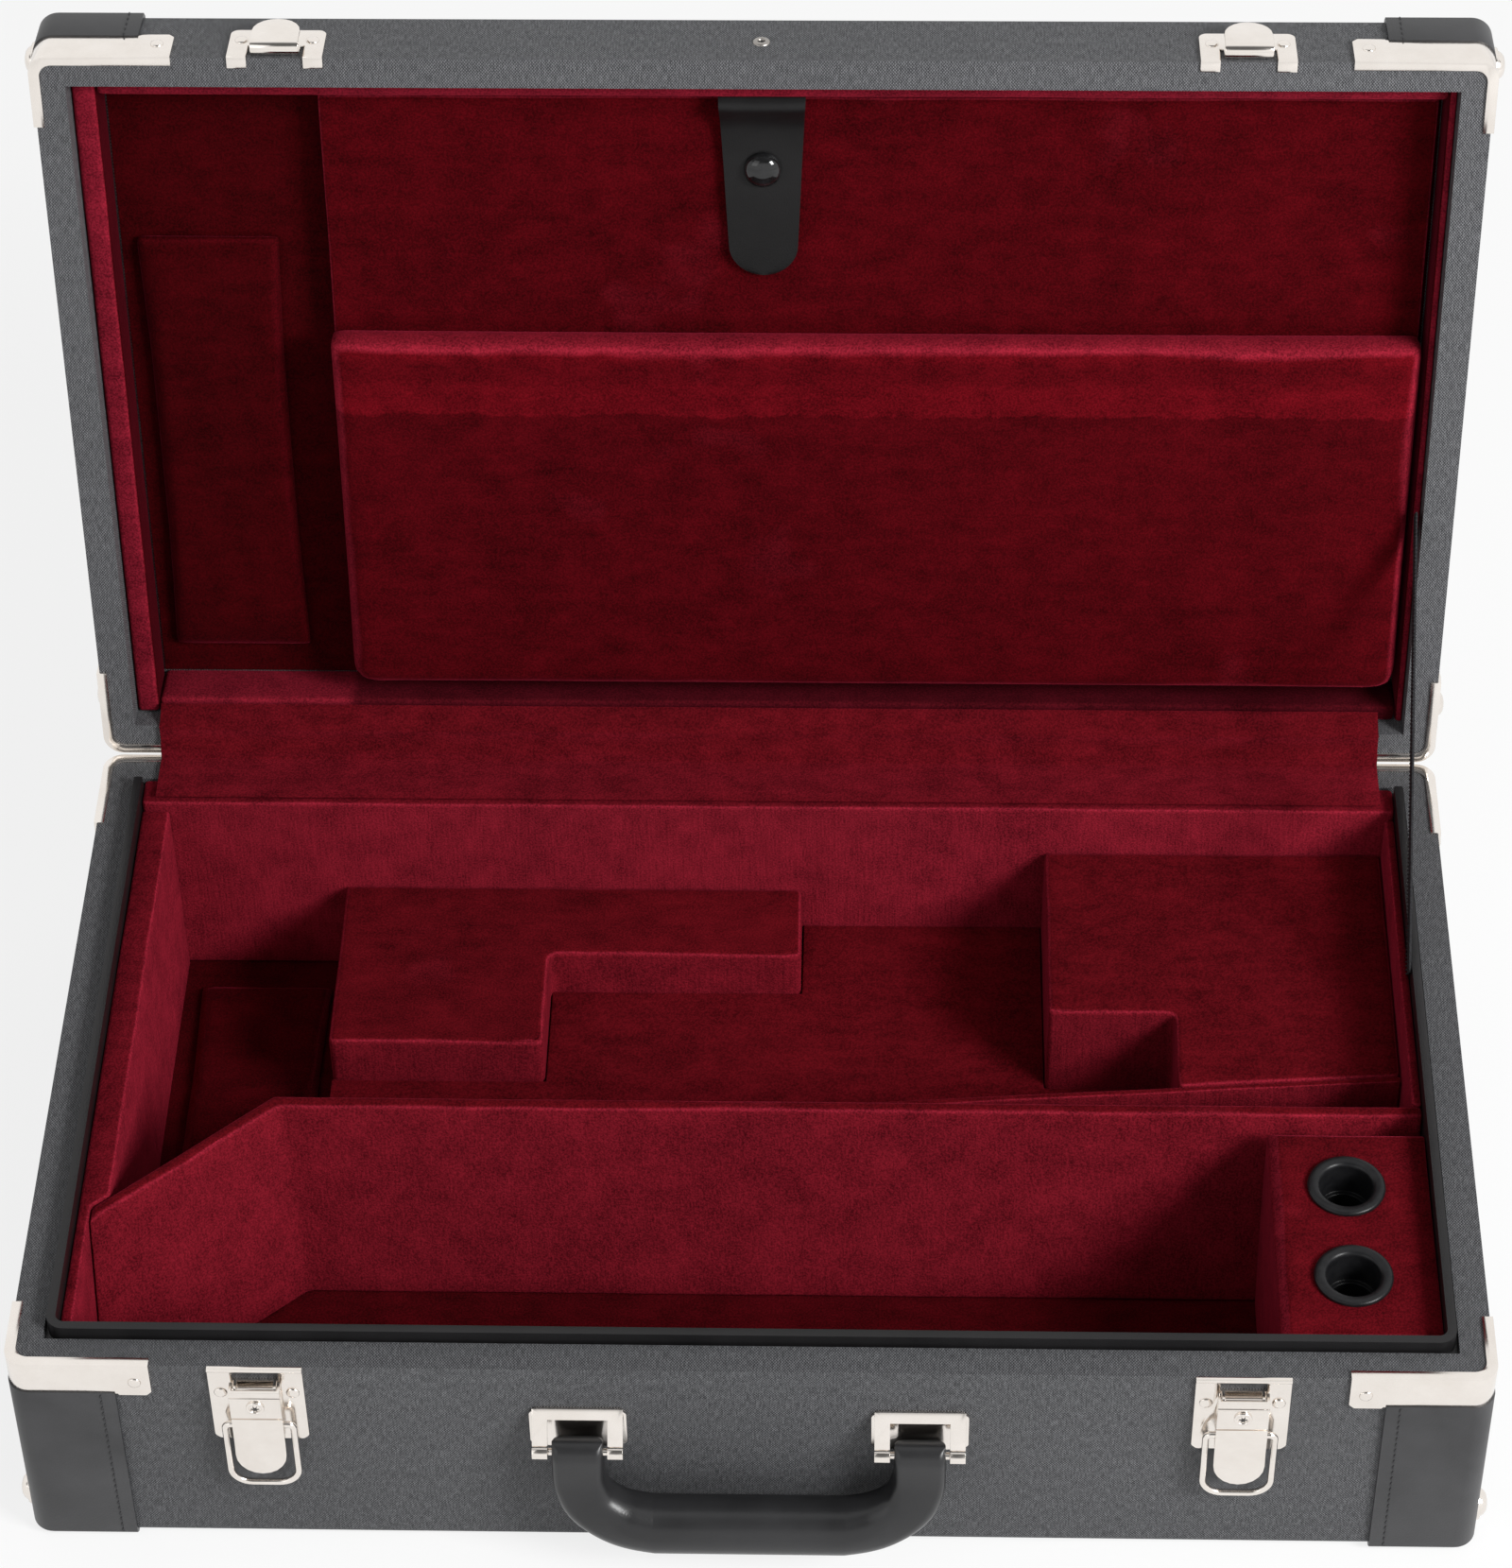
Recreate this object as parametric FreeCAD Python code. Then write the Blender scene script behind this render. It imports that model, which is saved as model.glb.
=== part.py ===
import FreeCAD, Part
import math
import os

# Trumpet case: a shallow wooden box in woven vinyl with a velvet bed and a hinged lid.
# Millimetres. X runs right, Y runs back, Z up. The origin is the centre of the base's underside.
# The lid is drawn shut and then swung open about its hinge, which is how the case stands.

os.makedirs("parts", exist_ok=True)
V = FreeCAD.Vector
X_AXIS = V(1, 0, 0)
Y_AXIS = V(0, 1, 0)
Z_AXIS = V(0, 0, 1)
FORWARD = V(0, -1, 0)
DOWN = V(0, 0, -1)
overrun = 2.0
tolerance = 0.001
flat_tolerance = 0.000001

# Shells
case_width = 560.0
case_depth = 330.0
base_height = 104.0
lid_height = 36.0
rim_gap = 2.0
wall = 12.5
board = 5.0
corner_radius = 7.0
rim_edge_bevel = 3.5
lid_open_angle = 97.0

# Lip that stands up round three sides of the base
lip_gap = 1.0
lip_thickness = 3.5
lip_rise = 5.0
lip_shoulder = 3.0
lip_corner_radius = 7.0
lip_end_gap = 4.0

# Velvet linings of the base
lining = 2.0
pad_drop = 4.0
back_pad_thickness = 14.5
left_pad_thickness = 12.0
left_front_pad_thickness = 5.0
right_pad_thickness = 4.2
front_pad_thickness = 3.0
pad_edge_radius = 2.0

# Beds that hold the trumpet
bed_height = 34.0
bell_pit_width = 71.0
bell_block_height = 57.0
bell_block_width = 89.5
bell_block_depth = 92.0
bell_block_arm = 105.8
bell_block_arm_depth = 40.5
stem_block_height = 80.0
stem_block_width = 141.8
stem_notch_width = 51.5
stem_notch_depth = 40.5
partition_lead = 85.3
partition_thickness = 3.5
partition_left_gap = 16.6
partition_right_gap = 34.2
block_edge_radius = 3.0
bell_pad_height = 5.0
bell_pad_side_gap = 6.0
bell_pad_front_gap = 10.0
bell_pad_back_gap = 15.0
bell_pad_bevel = 4.0

# Divider of the accessory compartment
divider_setback = 136.0
divider_thickness = 6.0
divider_spread = 19.0
divider_bevel_run = 68.0
divider_end_setback = 74.6

# Mouthpiece block and its two sockets
mouthpiece_block_width = 62.0
mouthpiece_block_gap = 0.5
mouthpiece_block_depth = 108.0
mouthpiece_block_height = 101.0
mouthpiece_edge = 4.0
socket_inset = 32.7
socket_front_setback = 51.7
socket_pitch = 46.4
socket_bore = 10.3
socket_bore_depth = 14.0
socket_well = 8.6
socket_well_depth = 30.0
socket_wall = 2.0
socket_floor = 2.0
socket_flange_radius = 15.25
socket_flange = 1.8
socket_play = 0.2
socket_sides = 12

# Leather guards over the upright corners
guard_reach = 40.0
guard_thickness = 1.6

# Nickel brackets over the rim corners
bracket_thickness = 1.2
bracket_long_arm = 54.0
bracket_front_side_arm = 30.0
bracket_back_side_arm = 40.0
bracket_height = 15.0
bracket_flange = 3.0
bracket_flange_thickness = 0.9
bracket_flange_radius = 5.0
bracket_step = 0.6
bracket_step_reach = 31.3
bracket_tab_reach = 41.6
bracket_tab_drop = 1.4
bracket_end_cut = 2.0
rivet_radius = 2.6
rivet_rise = 1.0
rivet_sides = 6
bracket_rivet_drop = 9.0
bracket_rivet_inset = 6.0
side_rivet_inset = 5.0

# Domed glides on the short sides and the hinge side
glide_radius = 7.0
glide_rim = 1.2
glide_rise = 4.5
glide_sides = 8
glide_inset = 13.0
glide_back_inset = 28.0
glide_lid_height = 22.0

# Draw latches
round_end_steps = 10
latch_inset = 94.0
latch_plate_width = 36.0
latch_plate_height = 41.5
latch_sheet = 1.2
latch_plate_cut = 2.0
latch_roll_radius = 1.05
latch_slot_width = 17.6
latch_slot_height = 4.4
latch_slot_drop = 2.4
latch_rivet_spread = 13.7
latch_rivet_drop = 14.0
lever_pivot_drop = 8.5
lever_pivot_proud = 4.4
lever_pin_radius = 1.25
pin_play = 0.05
ear_radius = 2.1
ear_sides = 8
ear_thickness = 1.1
ear_gap = 0.4
lever_width = 19.4
lever_proud = 8.0
lever_top_rise = 2.5
lever_cheek_gap = 2.8
lever_cheek_drop = 24.0
lever_cheek_corner = 2.0
lever_groove_drop = 22.0
lever_groove = 0.8
lever_groove_depth = 0.6
lever_tongue_drop = 44.0
lever_crease_drop = 36.5
lever_tip_lift = 2.0
lever_ridge = 0.6
lever_ridge_drop = 1.2
boss_radius = 3.5
boss_rise = 0.9
boss_drop = 6.2
boss_slot = 0.9
boss_slot_length = 3.4

# Wire bails
bail_wire = 1.35
bail_width = 28.8
bail_length = 35.2
bail_pivot_drop = 28.5
bail_pivot_proud = 4.8
bail_corner = 8.0
bail_ear_bend = 2.2
bail_end_gap = 0.1
bail_corner_steps = 4
bail_sides = 6

# Keepers on the lid
keeper_width = 37.0
keeper_height = 20.5
keeper_cut = 2.0
keeper_tongue_width = 18.6
keeper_tongue_rise = 19.4
keeper_tongue_gap = 4.3
keeper_tongue_seat = 0.25
keeper_notch = 1.5
keeper_notch_height = 8.0
keeper_lug = 4.0
keeper_rivet_rise = 12.0

# Carrying handle
handle_spacing = 130.0
handle_plate_width = 37.0
handle_plate_height = 22.0
handle_plate_top_drop = 22.0
handle_plate_cut = 2.6
handle_pin_radius = 1.5
handle_pin_drop = 38.0
handle_pin_proud = 9.0
hoop_sheet = 1.4
hoop_width = 34.6
hoop_leg = 5.9
hoop_bar = 3.8
knuckle_radius = 3.2
knuckle_sides = 8
grip_leg_width = 19.6
grip_leg_thickness = 12.0
grip_leg_corner = 3.0
grip_drop = 38.0
grip_elbow = 28.6
grip_diameter = 22.6
grip_bar_corner = 9.6
grip_bar_proud = 13.5
# Stations of the grip: run in from the leg, drop, swell from leg to bar, then the turn in degrees
grip_shares = (
    (0.0, 0.0, 0.0, 0),
    (0.0, 0.30, 0.08, 2),
    (0.035, 0.474, 0.22, 10),
    (0.12, 0.65, 0.42, 26),
    (0.28, 0.79, 0.62, 45),
    (0.50, 0.90, 0.80, 62),
    (0.73, 0.96, 0.93, 78),
    (1.0, 1.0, 1.0, 90),
)

# Hinges
hinge_proud = 1.6
hinge_pin_radius = 1.05
hinge_barrel_radius = 1.85
hinge_leaf_width = 42.0
hinge_leaf_height = 24.0
hinge_count = 3
hinge_inset = 105.0
hinge_knuckle_gap = 0.3
hinge_leaf_clear = 2.9

# Velvet band over the hinge and the tape that stays the lid
band_end_inset = 23.0
band_thickness = 0.9
band_lift = 0.35
band_bulge_share = 0.06
tape_width = 8.0
tape_thickness = 0.9
tape_reach = 122.0
tape_lip_clear = 0.35
tape_lean = 2.8
tape_lift = 0.4

# Lid linings
lid_pad_drop = 9.0
lid_left_pad_thickness = 10.0
lid_front_pad_thickness = 9.5
lid_back_pad_thickness = 8.0
lid_right_pad_thickness = 3.3
lid_pad_radius = 2.5
lid_lining = 1.5
recess_width = 84.0
recess_pad_height = 5.0
recess_pad_bevel = 5.0
recess_pad_left_gap = 4.0
recess_pad_width = 62.0
recess_pad_front_gap = 70.0
recess_pad_back_gap = 13.0

# Flap of the lid compartment and the padded block on it
flap_right_gap = 2.0
flap_front_gap = 4.5
flap_back_gap = 6.0
flap_depth = 19.0
flap_thickness = 4.2
flap_edge_radius = 1.8
flap_block_left_overhang = 1.3
flap_block_right_overhang = 1.2
flap_block_front_inset = 103.6
flap_block_back_inset = 3.5
flap_block_thickness = 14.0
flap_block_corner = 9.0
flap_block_front_corner = 3.0
flap_block_edge = 2.5
flap_rest_width = 5.0
flap_rest_inset = 2.5
flap_rest_gap = 0.4
flap_hinge_cloth = 0.8
flap_hinge_gap = 0.5
flap_hinge_end = 8.0
stud_radius = 4.0
stud_rise = 1.1

# Snap tab
tab_width = 34.0
tab_tip_width = 27.0
tab_thickness = 1.5
tab_reach = 82.5
tab_cap_reach = 34.2
tab_cap_radius = 7.5
tab_cap_rise = 5.0
tab_cap_rim = 1.2
tab_cap_sides = 16
tab_clear = 0.3
tab_root_depth = 12.6
tab_crown_depth = 10.2
tab_crown_reach = 4.5
tab_fall_reach = 13.0

# Eyelet in the lid's front
eyelet_radius = 4.2
eyelet_rise = 1.2
eyelet_height = 14.3

# Shapes of the small turned pieces: radius and height, as shares
rivet_dome_shares = ((1.0, 0.0), (0.62, 1.0))
deep_dome_shares = ((1.0, 0.0), (0.76, 0.62), (0.36, 1.0))

# Places that several pieces share
side = case_width / 2
front = -case_depth / 2
back = case_depth / 2
lid_base = base_height + rim_gap
lid_top = lid_base + lid_height
floor_top = board + lining
liner = wall + lip_gap + lip_thickness
lip_top = base_height + lip_rise
pad_top = base_height - pad_drop
inner_x = side - wall
inner_front = front + wall
inner_back = back - wall
liner_x = side - liner
liner_front = front + liner
back_pad_face = inner_back - back_pad_thickness
front_pad_face = liner_front + front_pad_thickness
left_pad_face = -liner_x + left_pad_thickness
left_front_face = -liner_x + left_front_pad_thickness
right_pad_face = liner_x - right_pad_thickness
divider_front = front + divider_setback
divider_back = divider_front + divider_thickness
bell_block_left = left_pad_face + bell_pit_width
bell_block_right = bell_block_left + bell_block_width
arm_right = bell_block_right + bell_block_arm
stem_block_left = right_pad_face - stem_block_width
partition_left = stem_block_left - partition_lead
latch_offset = side - latch_inset
handle_x = handle_spacing / 2
hinge_y = back + hinge_proud
hinge_z = base_height + rim_gap / 2
lid_board_low = lid_top - board
lid_ceiling = lid_board_low - lid_lining
lid_pad_low = lid_base + lid_pad_drop
lid_left_face = -inner_x + lid_left_pad_thickness
lid_right_face = inner_x - lid_right_pad_thickness
lid_front_face = inner_front + lid_front_pad_thickness
lid_back_face = inner_back - lid_back_pad_thickness
flap_left = lid_left_face + recess_width
flap_right = lid_right_face - flap_right_gap
flap_front = lid_front_face + flap_front_gap
flap_back = lid_back_face - flap_back_gap
flap_face = lid_base + flap_depth
band_end = side - band_end_inset


def block(x0, x1, y0, y1, z0, z1):
    return Part.makeBox(x1 - x0, y1 - y0, z1 - z0, V(x0, y0, z0))


def rod(radius, start, axis, length):
    return Part.makeCylinder(radius, length, start, axis)


def rounded(points, radii):
    # Closed outline through the points, each corner turned by an arc of its radius
    edges = []
    cuts = []
    count = len(points)
    for i in range(count):
        here = points[i]
        before = (points[i - 1] - here).normalize()
        after = (points[(i + 1) % count] - here).normalize()
        half = before.getAngle(after) / 2
        if radii[i] > 0:
            run = radii[i] / math.tan(half)
            middle = (before + after).normalize()
            centre = here + middle * (radii[i] / math.sin(half))
            cuts.append((here + before * run, centre - middle * radii[i], here + after * run))
        else:
            cuts.append((here, None, here))
    for i in range(count):
        enter, top, leave = cuts[i]
        if top is not None:
            edges.append(Part.Arc(enter, top, leave).toShape())
        following = cuts[(i + 1) % count][0]
        if leave.distanceToPoint(following) > tolerance:
            edges.append(Part.makeLine(leave, following))
    return Part.Face(Part.Wire(edges))


def prism(points, direction, radii=None):
    if radii is None:
        radii = [0] * len(points)
    return rounded(points, radii).extrude(direction)


def plan(x0, x1, y0, y1, z, radius):
    # Level rectangle with rounded corners
    points = [V(x0, y0, z), V(x1, y0, z), V(x1, y1, z), V(x0, y1, z)]
    return rounded(points, [radius] * len(points))


def clipped(points, cuts):
    # Outline with each corner cut off straight, at the given distance along both of its sides
    outline = []
    for i, here in enumerate(points):
        if cuts[i] > 0:
            before = (points[i - 1] - here).normalize()
            after = (points[(i + 1) % len(points)] - here).normalize()
            outline += [here + before * cuts[i], here + after * cuts[i]]
        else:
            outline.append(here)
    return outline


def upright(x0, x1, y, z0, z1, depth, cuts):
    # Sheet that stands on the front, its corners taken from the lower left round
    points = [V(x0, y, z0), V(x1, y, z0), V(x1, y, z1), V(x0, y, z1)]
    return prism(clipped(points, cuts), V(0, -depth, 0))


def loop(points):
    return Part.makePolygon(points + [points[0]])


def panelled(rings):
    # Closed solid of flat panels from each ring of points to the next, with a flat end on both
    faces = [Part.Face(loop(rings[0])), Part.Face(loop(rings[-1]))]
    for low, high in zip(rings, rings[1:]):
        for i in range(len(low)):
            j = (i + 1) % len(low)
            a, b, c, d = low[i], low[j], high[j], high[i]
            lean = (b - a).cross(c - a).normalize().dot(d - a)
            if abs(lean) < flat_tolerance:
                faces.append(Part.Face(loop([a, b, c, d])))
            else:
                faces.append(Part.Face(loop([a, b, c])))
                faces.append(Part.Face(loop([a, c, d])))
    shell = Part.makeShell(faces)
    shell.sewShape()
    if Part.makeSolid(shell).Volume < 0:
        shell.reverse()
    return Part.makeSolid(shell)


def many_sided(radius, sides, z):
    turn = 2 * math.pi / sides
    angles = [turn * i + turn / 2 for i in range(sides)]
    return [V(radius * math.cos(a), radius * math.sin(a), z) for a in angles]


def turned(levels, sides, at, outward):
    # Small turned piece, many-sided: each level is a radius and its height
    solid = panelled([many_sided(radius, sides, z) for radius, z in levels])
    solid.Placement = FreeCAD.Placement(at, FreeCAD.Rotation(Z_AXIS, outward))
    return solid


def dome(shares, radius, low, rise):
    return [(radius * r, low + rise * z) for r, z in shares]


def rivet(at, outward, radius, rise):
    return turned(dome(rivet_dome_shares, radius, 0, rise), rivet_sides, at, outward)


def level(edge, z):
    return all(abs(v.Z - z) < tolerance for v in edge.Vertexes)


def soften(shape, radius, chosen):
    return shape.makeFillet(radius, [e for e in shape.Edges if chosen(e)])


def bevel(shape, size, chosen):
    return shape.makeChamfer(size, [e for e in shape.Edges if chosen(e)])


def swung(shape, centre, axis, angle):
    turned_copy = shape.copy()
    turned_copy.rotate(centre, axis, angle)
    return turned_copy


def opened(shape):
    return swung(shape, V(0, hinge_y, hinge_z), X_AXIS, -lid_open_angle)


def mirrored(shape):
    return shape.mirror(V(0, 0, 0), X_AXIS)


def joined(shapes):
    return shapes[0].fuse(shapes[1:]).removeSplitter()


def save(name, shapes):
    solids = []
    for shape in shapes:
        solids.extend(shape.Solids)
    for solid in solids:
        if not solid.isValid():
            raise ValueError(name + " holds a solid that is not valid")
    whole = solids[0] if len(solids) == 1 else Part.makeCompound(solids)
    whole.exportStep("parts/" + name + ".step")
    print(name, len(solids), "solids, volume", round(whole.Volume))


def save_lid(name, shapes):
    save(name, [opened(s) for s in shapes])


# Outer block of each shell: every wall is a slice of it
def outer_block(grow, z0, z1, bevelled_z):
    body = plan(-side - grow, side + grow, front - grow, back + grow, z0, corner_radius + grow)
    body = body.extrude(V(0, 0, z1 - z0))
    # A bevel grows by less than the faces beside it, so that the skin over it stays even
    bevel_size = rim_edge_bevel + grow * (2 - math.sqrt(2))
    return bevel(body, bevel_size, lambda e: level(e, bevelled_z))


def walls(body, z0, z1):
    # The short sides run the full depth and the long sides stand between them
    return {
        "front_wall": body.common(block(-inner_x, inner_x, front, inner_front, z0, z1)),
        "back_wall": body.common(block(-inner_x, inner_x, inner_back, back, z0, z1)),
        "left_wall": body.common(block(-side, -inner_x, front, back, z0, z1)),
        "right_wall": body.common(block(inner_x, side, front, back, z0, z1)),
    }


base_block = outer_block(0, 0, base_height, 0)
lid_block = outer_block(0, lid_base, lid_top, lid_top)
for name, shape in walls(base_block, 0, base_height).items():
    save("base_" + name, [shape])
save("base_floor_board", [block(-inner_x, inner_x, inner_front, inner_back, 0, board)])
for name, shape in walls(lid_block, lid_base, lid_top).items():
    save_lid("lid_" + name, [shape])
lid_board = block(-inner_x, inner_x, inner_front, inner_back, lid_board_low, lid_top)
save_lid("lid_top_board", [lid_board])


# Lip: a strip bent round the front and both sides, set off the wall above its shoulder
def inset_plan(inset, radius, z):
    return plan(-side + inset, side - inset, front + inset, back + wall, z, radius)


lip_foot_z = base_height - lip_shoulder
lip_inner_radius = lip_corner_radius - lip_thickness
lip_foot = inset_plan(wall, 0, board).cut(inset_plan(liner, 0, board))
lip_foot = lip_foot.extrude(V(0, 0, lip_foot_z - board))
lip_foot = lip_foot.common(block(-side, side, front, inner_back, board, lip_foot_z))
lip_crest = inset_plan(wall + lip_gap, lip_corner_radius, lip_foot_z)
lip_crest = lip_crest.cut(inset_plan(liner, lip_inner_radius, lip_foot_z))
lip_crest = lip_crest.extrude(V(0, 0, lip_top - lip_foot_z))
lip_end = inner_back - lip_end_gap
lip_crest = lip_crest.common(block(-side, side, front, lip_end, lip_foot_z, lip_top))
save("base_lip", [joined([lip_foot, lip_crest])])

# Floor lining and the pads that line the base's sides
save("base_floor_lining", [block(-liner_x, liner_x, liner_front, inner_back, board, floor_top)])
back_pad = block(-liner_x, liner_x, back_pad_face, inner_back, floor_top, base_height)
back_pad = soften(
    back_pad,
    pad_edge_radius,
    lambda e: level(e, base_height) and e.BoundBox.YMax < back_pad_face + lip_gap,
)
save("base_back_pad", [back_pad])
front_pad = block(left_front_face, liner_x, liner_front, front_pad_face, floor_top, pad_top)
save("base_front_pad", [front_pad])


# Divider: upright at the back, spread at the foot in front, and bent forward at its left end
def offset_line(points, distance):
    # Moves an open plan line sideways and keeps its corners mitred
    moved = []
    for i, here in enumerate(points):
        normals = []
        for a, b in ((i - 1, i), (i, i + 1)):
            if a >= 0 and b < len(points):
                run = (points[b] - points[a]).normalize()
                normals.append(V(run.y, -run.x, 0))
        middle = normals[0] if len(normals) == 1 else (normals[0] + normals[1]).normalize()
        moved.append(here + middle * (distance / middle.dot(normals[0])))
    return moved


def run_to_side(points, first_x, last_x):
    # Lengthens or shortens both end runs until they meet the given X places
    ends = list(points)
    for end, near, x in ((0, 1, first_x), (-1, -2, last_x)):
        run = points[end] - points[near]
        ends[end] = points[near] + run * ((x - points[near].x) / run.x)
    return ends


def strip_at(line_a, line_b, z):
    return [V(p.x, p.y, z) for p in line_a] + [V(p.x, p.y, z) for p in reversed(line_b)]


divider_line = [
    V(left_front_face, front + divider_end_setback, 0),
    V(left_front_face + divider_bevel_run, divider_front, 0),
    V(liner_x, divider_front, 0),
]
divider_foot = run_to_side(offset_line(divider_line, divider_spread), left_front_face, liner_x)
divider_rear = run_to_side(offset_line(divider_line, -divider_thickness), left_front_face, liner_x)
divider_foot_ring = strip_at(divider_foot, divider_rear, floor_top)
divider = panelled([divider_foot_ring, strip_at(divider_line, divider_rear, pad_top)])
save("compartment_divider", [divider])

# Left lining: thin beside the accessory compartment, thick beside the bell
rear_run = divider_rear[1] - divider_rear[0]
rear_share = (left_pad_face - left_front_face) / rear_run.x
left_points = [
    V(-liner_x, liner_front, floor_top),
    V(left_front_face, liner_front, floor_top),
    V(left_front_face, divider_rear[0].y, floor_top),
    V(left_pad_face, divider_rear[0].y + rear_run.y * rear_share, floor_top),
    V(left_pad_face, back_pad_face, floor_top),
    V(-liner_x, back_pad_face, floor_top),
]
left_pad = prism(left_points, V(0, 0, pad_top - floor_top))
left_pad = soften(
    left_pad,
    pad_edge_radius,
    lambda e: level(e, pad_top) and e.BoundBox.XMin > left_pad_face - lip_gap,
)
save("base_left_pad", [left_pad])
right_pad = block(right_pad_face, liner_x, divider_back, back_pad_face, floor_top, pad_top)
right_pad = soften(
    right_pad,
    pad_edge_radius,
    lambda e: level(e, pad_top) and e.BoundBox.XMax < right_pad_face + lip_gap,
)
save("base_right_pad", [right_pad])

# Partition: a thin board set slantwise behind the divider
partition_start = V(partition_left, divider_back + partition_left_gap, bed_height)
partition_run = V(
    right_pad_face - partition_left,
    partition_right_gap - partition_left_gap,
    0,
)
partition_front = V(0, -partition_thickness, 0)
partition = prism(
    [
        partition_start + partition_front,
        partition_start + partition_run + partition_front,
        partition_start + partition_run,
        partition_start,
    ],
    V(0, 0, stem_block_height - bed_height),
)
save("stem_partition", [partition])

# Blocks of the trumpet bed and the raised floor between them
bell_points = [
    V(bell_block_left, back_pad_face - bell_block_depth, floor_top),
    V(bell_block_right, back_pad_face - bell_block_depth, floor_top),
    V(bell_block_right, back_pad_face - bell_block_arm_depth, floor_top),
    V(arm_right, back_pad_face - bell_block_arm_depth, floor_top),
    V(arm_right, back_pad_face, floor_top),
    V(bell_block_left, back_pad_face, floor_top),
]
bell_block = prism(bell_points, V(0, 0, bell_block_height - floor_top))
notch_x = stem_block_left + stem_notch_width
notch_share = (notch_x - partition_left) / partition_run.x
notch_y = partition_start.y + partition_run.y * notch_share
stem_points = [
    V(stem_block_left, notch_y + stem_notch_depth, floor_top),
    V(notch_x, notch_y + stem_notch_depth, floor_top),
    V(notch_x, notch_y, floor_top),
    V(right_pad_face, partition_start.y + partition_run.y, floor_top),
    V(right_pad_face, back_pad_face, floor_top),
    V(stem_block_left, back_pad_face, floor_top),
]
stem_block = prism(stem_points, V(0, 0, stem_block_height - floor_top))
bed = block(bell_block_left, right_pad_face, divider_back, back_pad_face, floor_top, bed_height)
bed = bed.cut(bell_block).cut(stem_block)
save("valve_bed", [bed])
bell_block = soften(
    bell_block,
    block_edge_radius,
    lambda e: level(e, bell_block_height) and e.BoundBox.YMax < back_pad_face,
)
save("bell_block", [bell_block])
stem_block = soften(
    stem_block,
    block_edge_radius,
    lambda e: level(e, stem_block_height) and e.BoundBox.XMax < notch_x + tolerance
    and e.BoundBox.YMax < back_pad_face,
)
save("stem_block", [stem_block])


def bevelled_pad(x0, x1, y0, y1, z0, z1, draw):
    # A pad that draws in from its foot to its face
    rings = []
    for inset, z in ((0, z0), (draw, z1)):
        xa, xb, ya, yb = x0 + inset, x1 - inset, y0 + inset, y1 - inset
        rings.append([V(xa, ya, z), V(xb, ya, z), V(xb, yb, z), V(xa, yb, z)])
    return panelled(rings)


bell_pad = bevelled_pad(
    left_pad_face + bell_pad_side_gap,
    bell_block_left - bell_pad_side_gap,
    divider_back + bell_pad_front_gap,
    back_pad_face - bell_pad_back_gap,
    floor_top,
    floor_top + bell_pad_height,
    bell_pad_bevel,
)
save("bell_pad", [bell_pad])

# Mouthpiece block with two flanged cups let into it
block_left = liner_x - mouthpiece_block_width
block_front = front_pad_face + mouthpiece_block_gap
mouthpiece_block = block(
    block_left,
    liner_x,
    block_front,
    block_front + mouthpiece_block_depth,
    floor_top,
    mouthpiece_block_height,
)
mouthpiece_block = bevel(
    mouthpiece_block,
    mouthpiece_edge,
    lambda e: level(e, mouthpiece_block_height) and e.BoundBox.XMin < liner_x - wall,
)
mouthpiece_block = mouthpiece_block.cut(divider)
socket_depth = socket_bore_depth + socket_well_depth
socket_x = liner_x - socket_inset
cup_radius = socket_bore + socket_wall
cup_levels = [
    (cup_radius, -socket_depth - socket_floor),
    (cup_radius, 0),
    (socket_flange_radius, 0),
    (socket_flange_radius - socket_flange / 2, socket_flange),
]
sockets = []
for setback in (socket_front_setback, socket_front_setback + socket_pitch):
    mouth = V(socket_x, front + setback, mouthpiece_block_height)
    rim = mouth + V(0, 0, socket_flange)
    cup = turned(cup_levels, socket_sides, mouth, Z_AXIS)
    cup = cup.cut(rod(socket_bore, rim, DOWN, socket_bore_depth + socket_flange))
    well_levels = [(socket_well, -socket_depth), (socket_well, 0)]
    cup = cup.cut(turned(well_levels, socket_sides, mouth, Z_AXIS))
    sockets.append(cup)
    hole_radius = cup_radius + socket_play
    hole_levels = [(hole_radius, -socket_depth - socket_floor), (hole_radius, overrun)]
    mouthpiece_block = mouthpiece_block.cut(turned(hole_levels, socket_sides, mouth, Z_AXIS))
save("mouthpiece_block", [mouthpiece_block])
save("mouthpiece_sockets", sockets)


# Rim brackets: an angle bent round each corner, with a flange over the rim and a riveted end tab
def corner_box(reach_x, reach_y, left, near, z0, z1):
    x0, x1 = (-side - wall, -side + reach_x) if left else (side - reach_x, side + wall)
    y0, y1 = (front - wall, front + reach_y) if near else (back - reach_y, back + wall)
    return block(x0, x1, y0, y1, z0, z1)


def shell_ring(grow, inset, inner_radius, z0, z1):
    outside = plan(-side - grow, side + grow, front - grow, back + grow, z0, corner_radius + grow)
    inside = plan(-side + inset, side - inset, front + inset, back - inset, z0, inner_radius)
    return outside.cut(inside).extrude(V(0, 0, z1 - z0))


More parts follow.
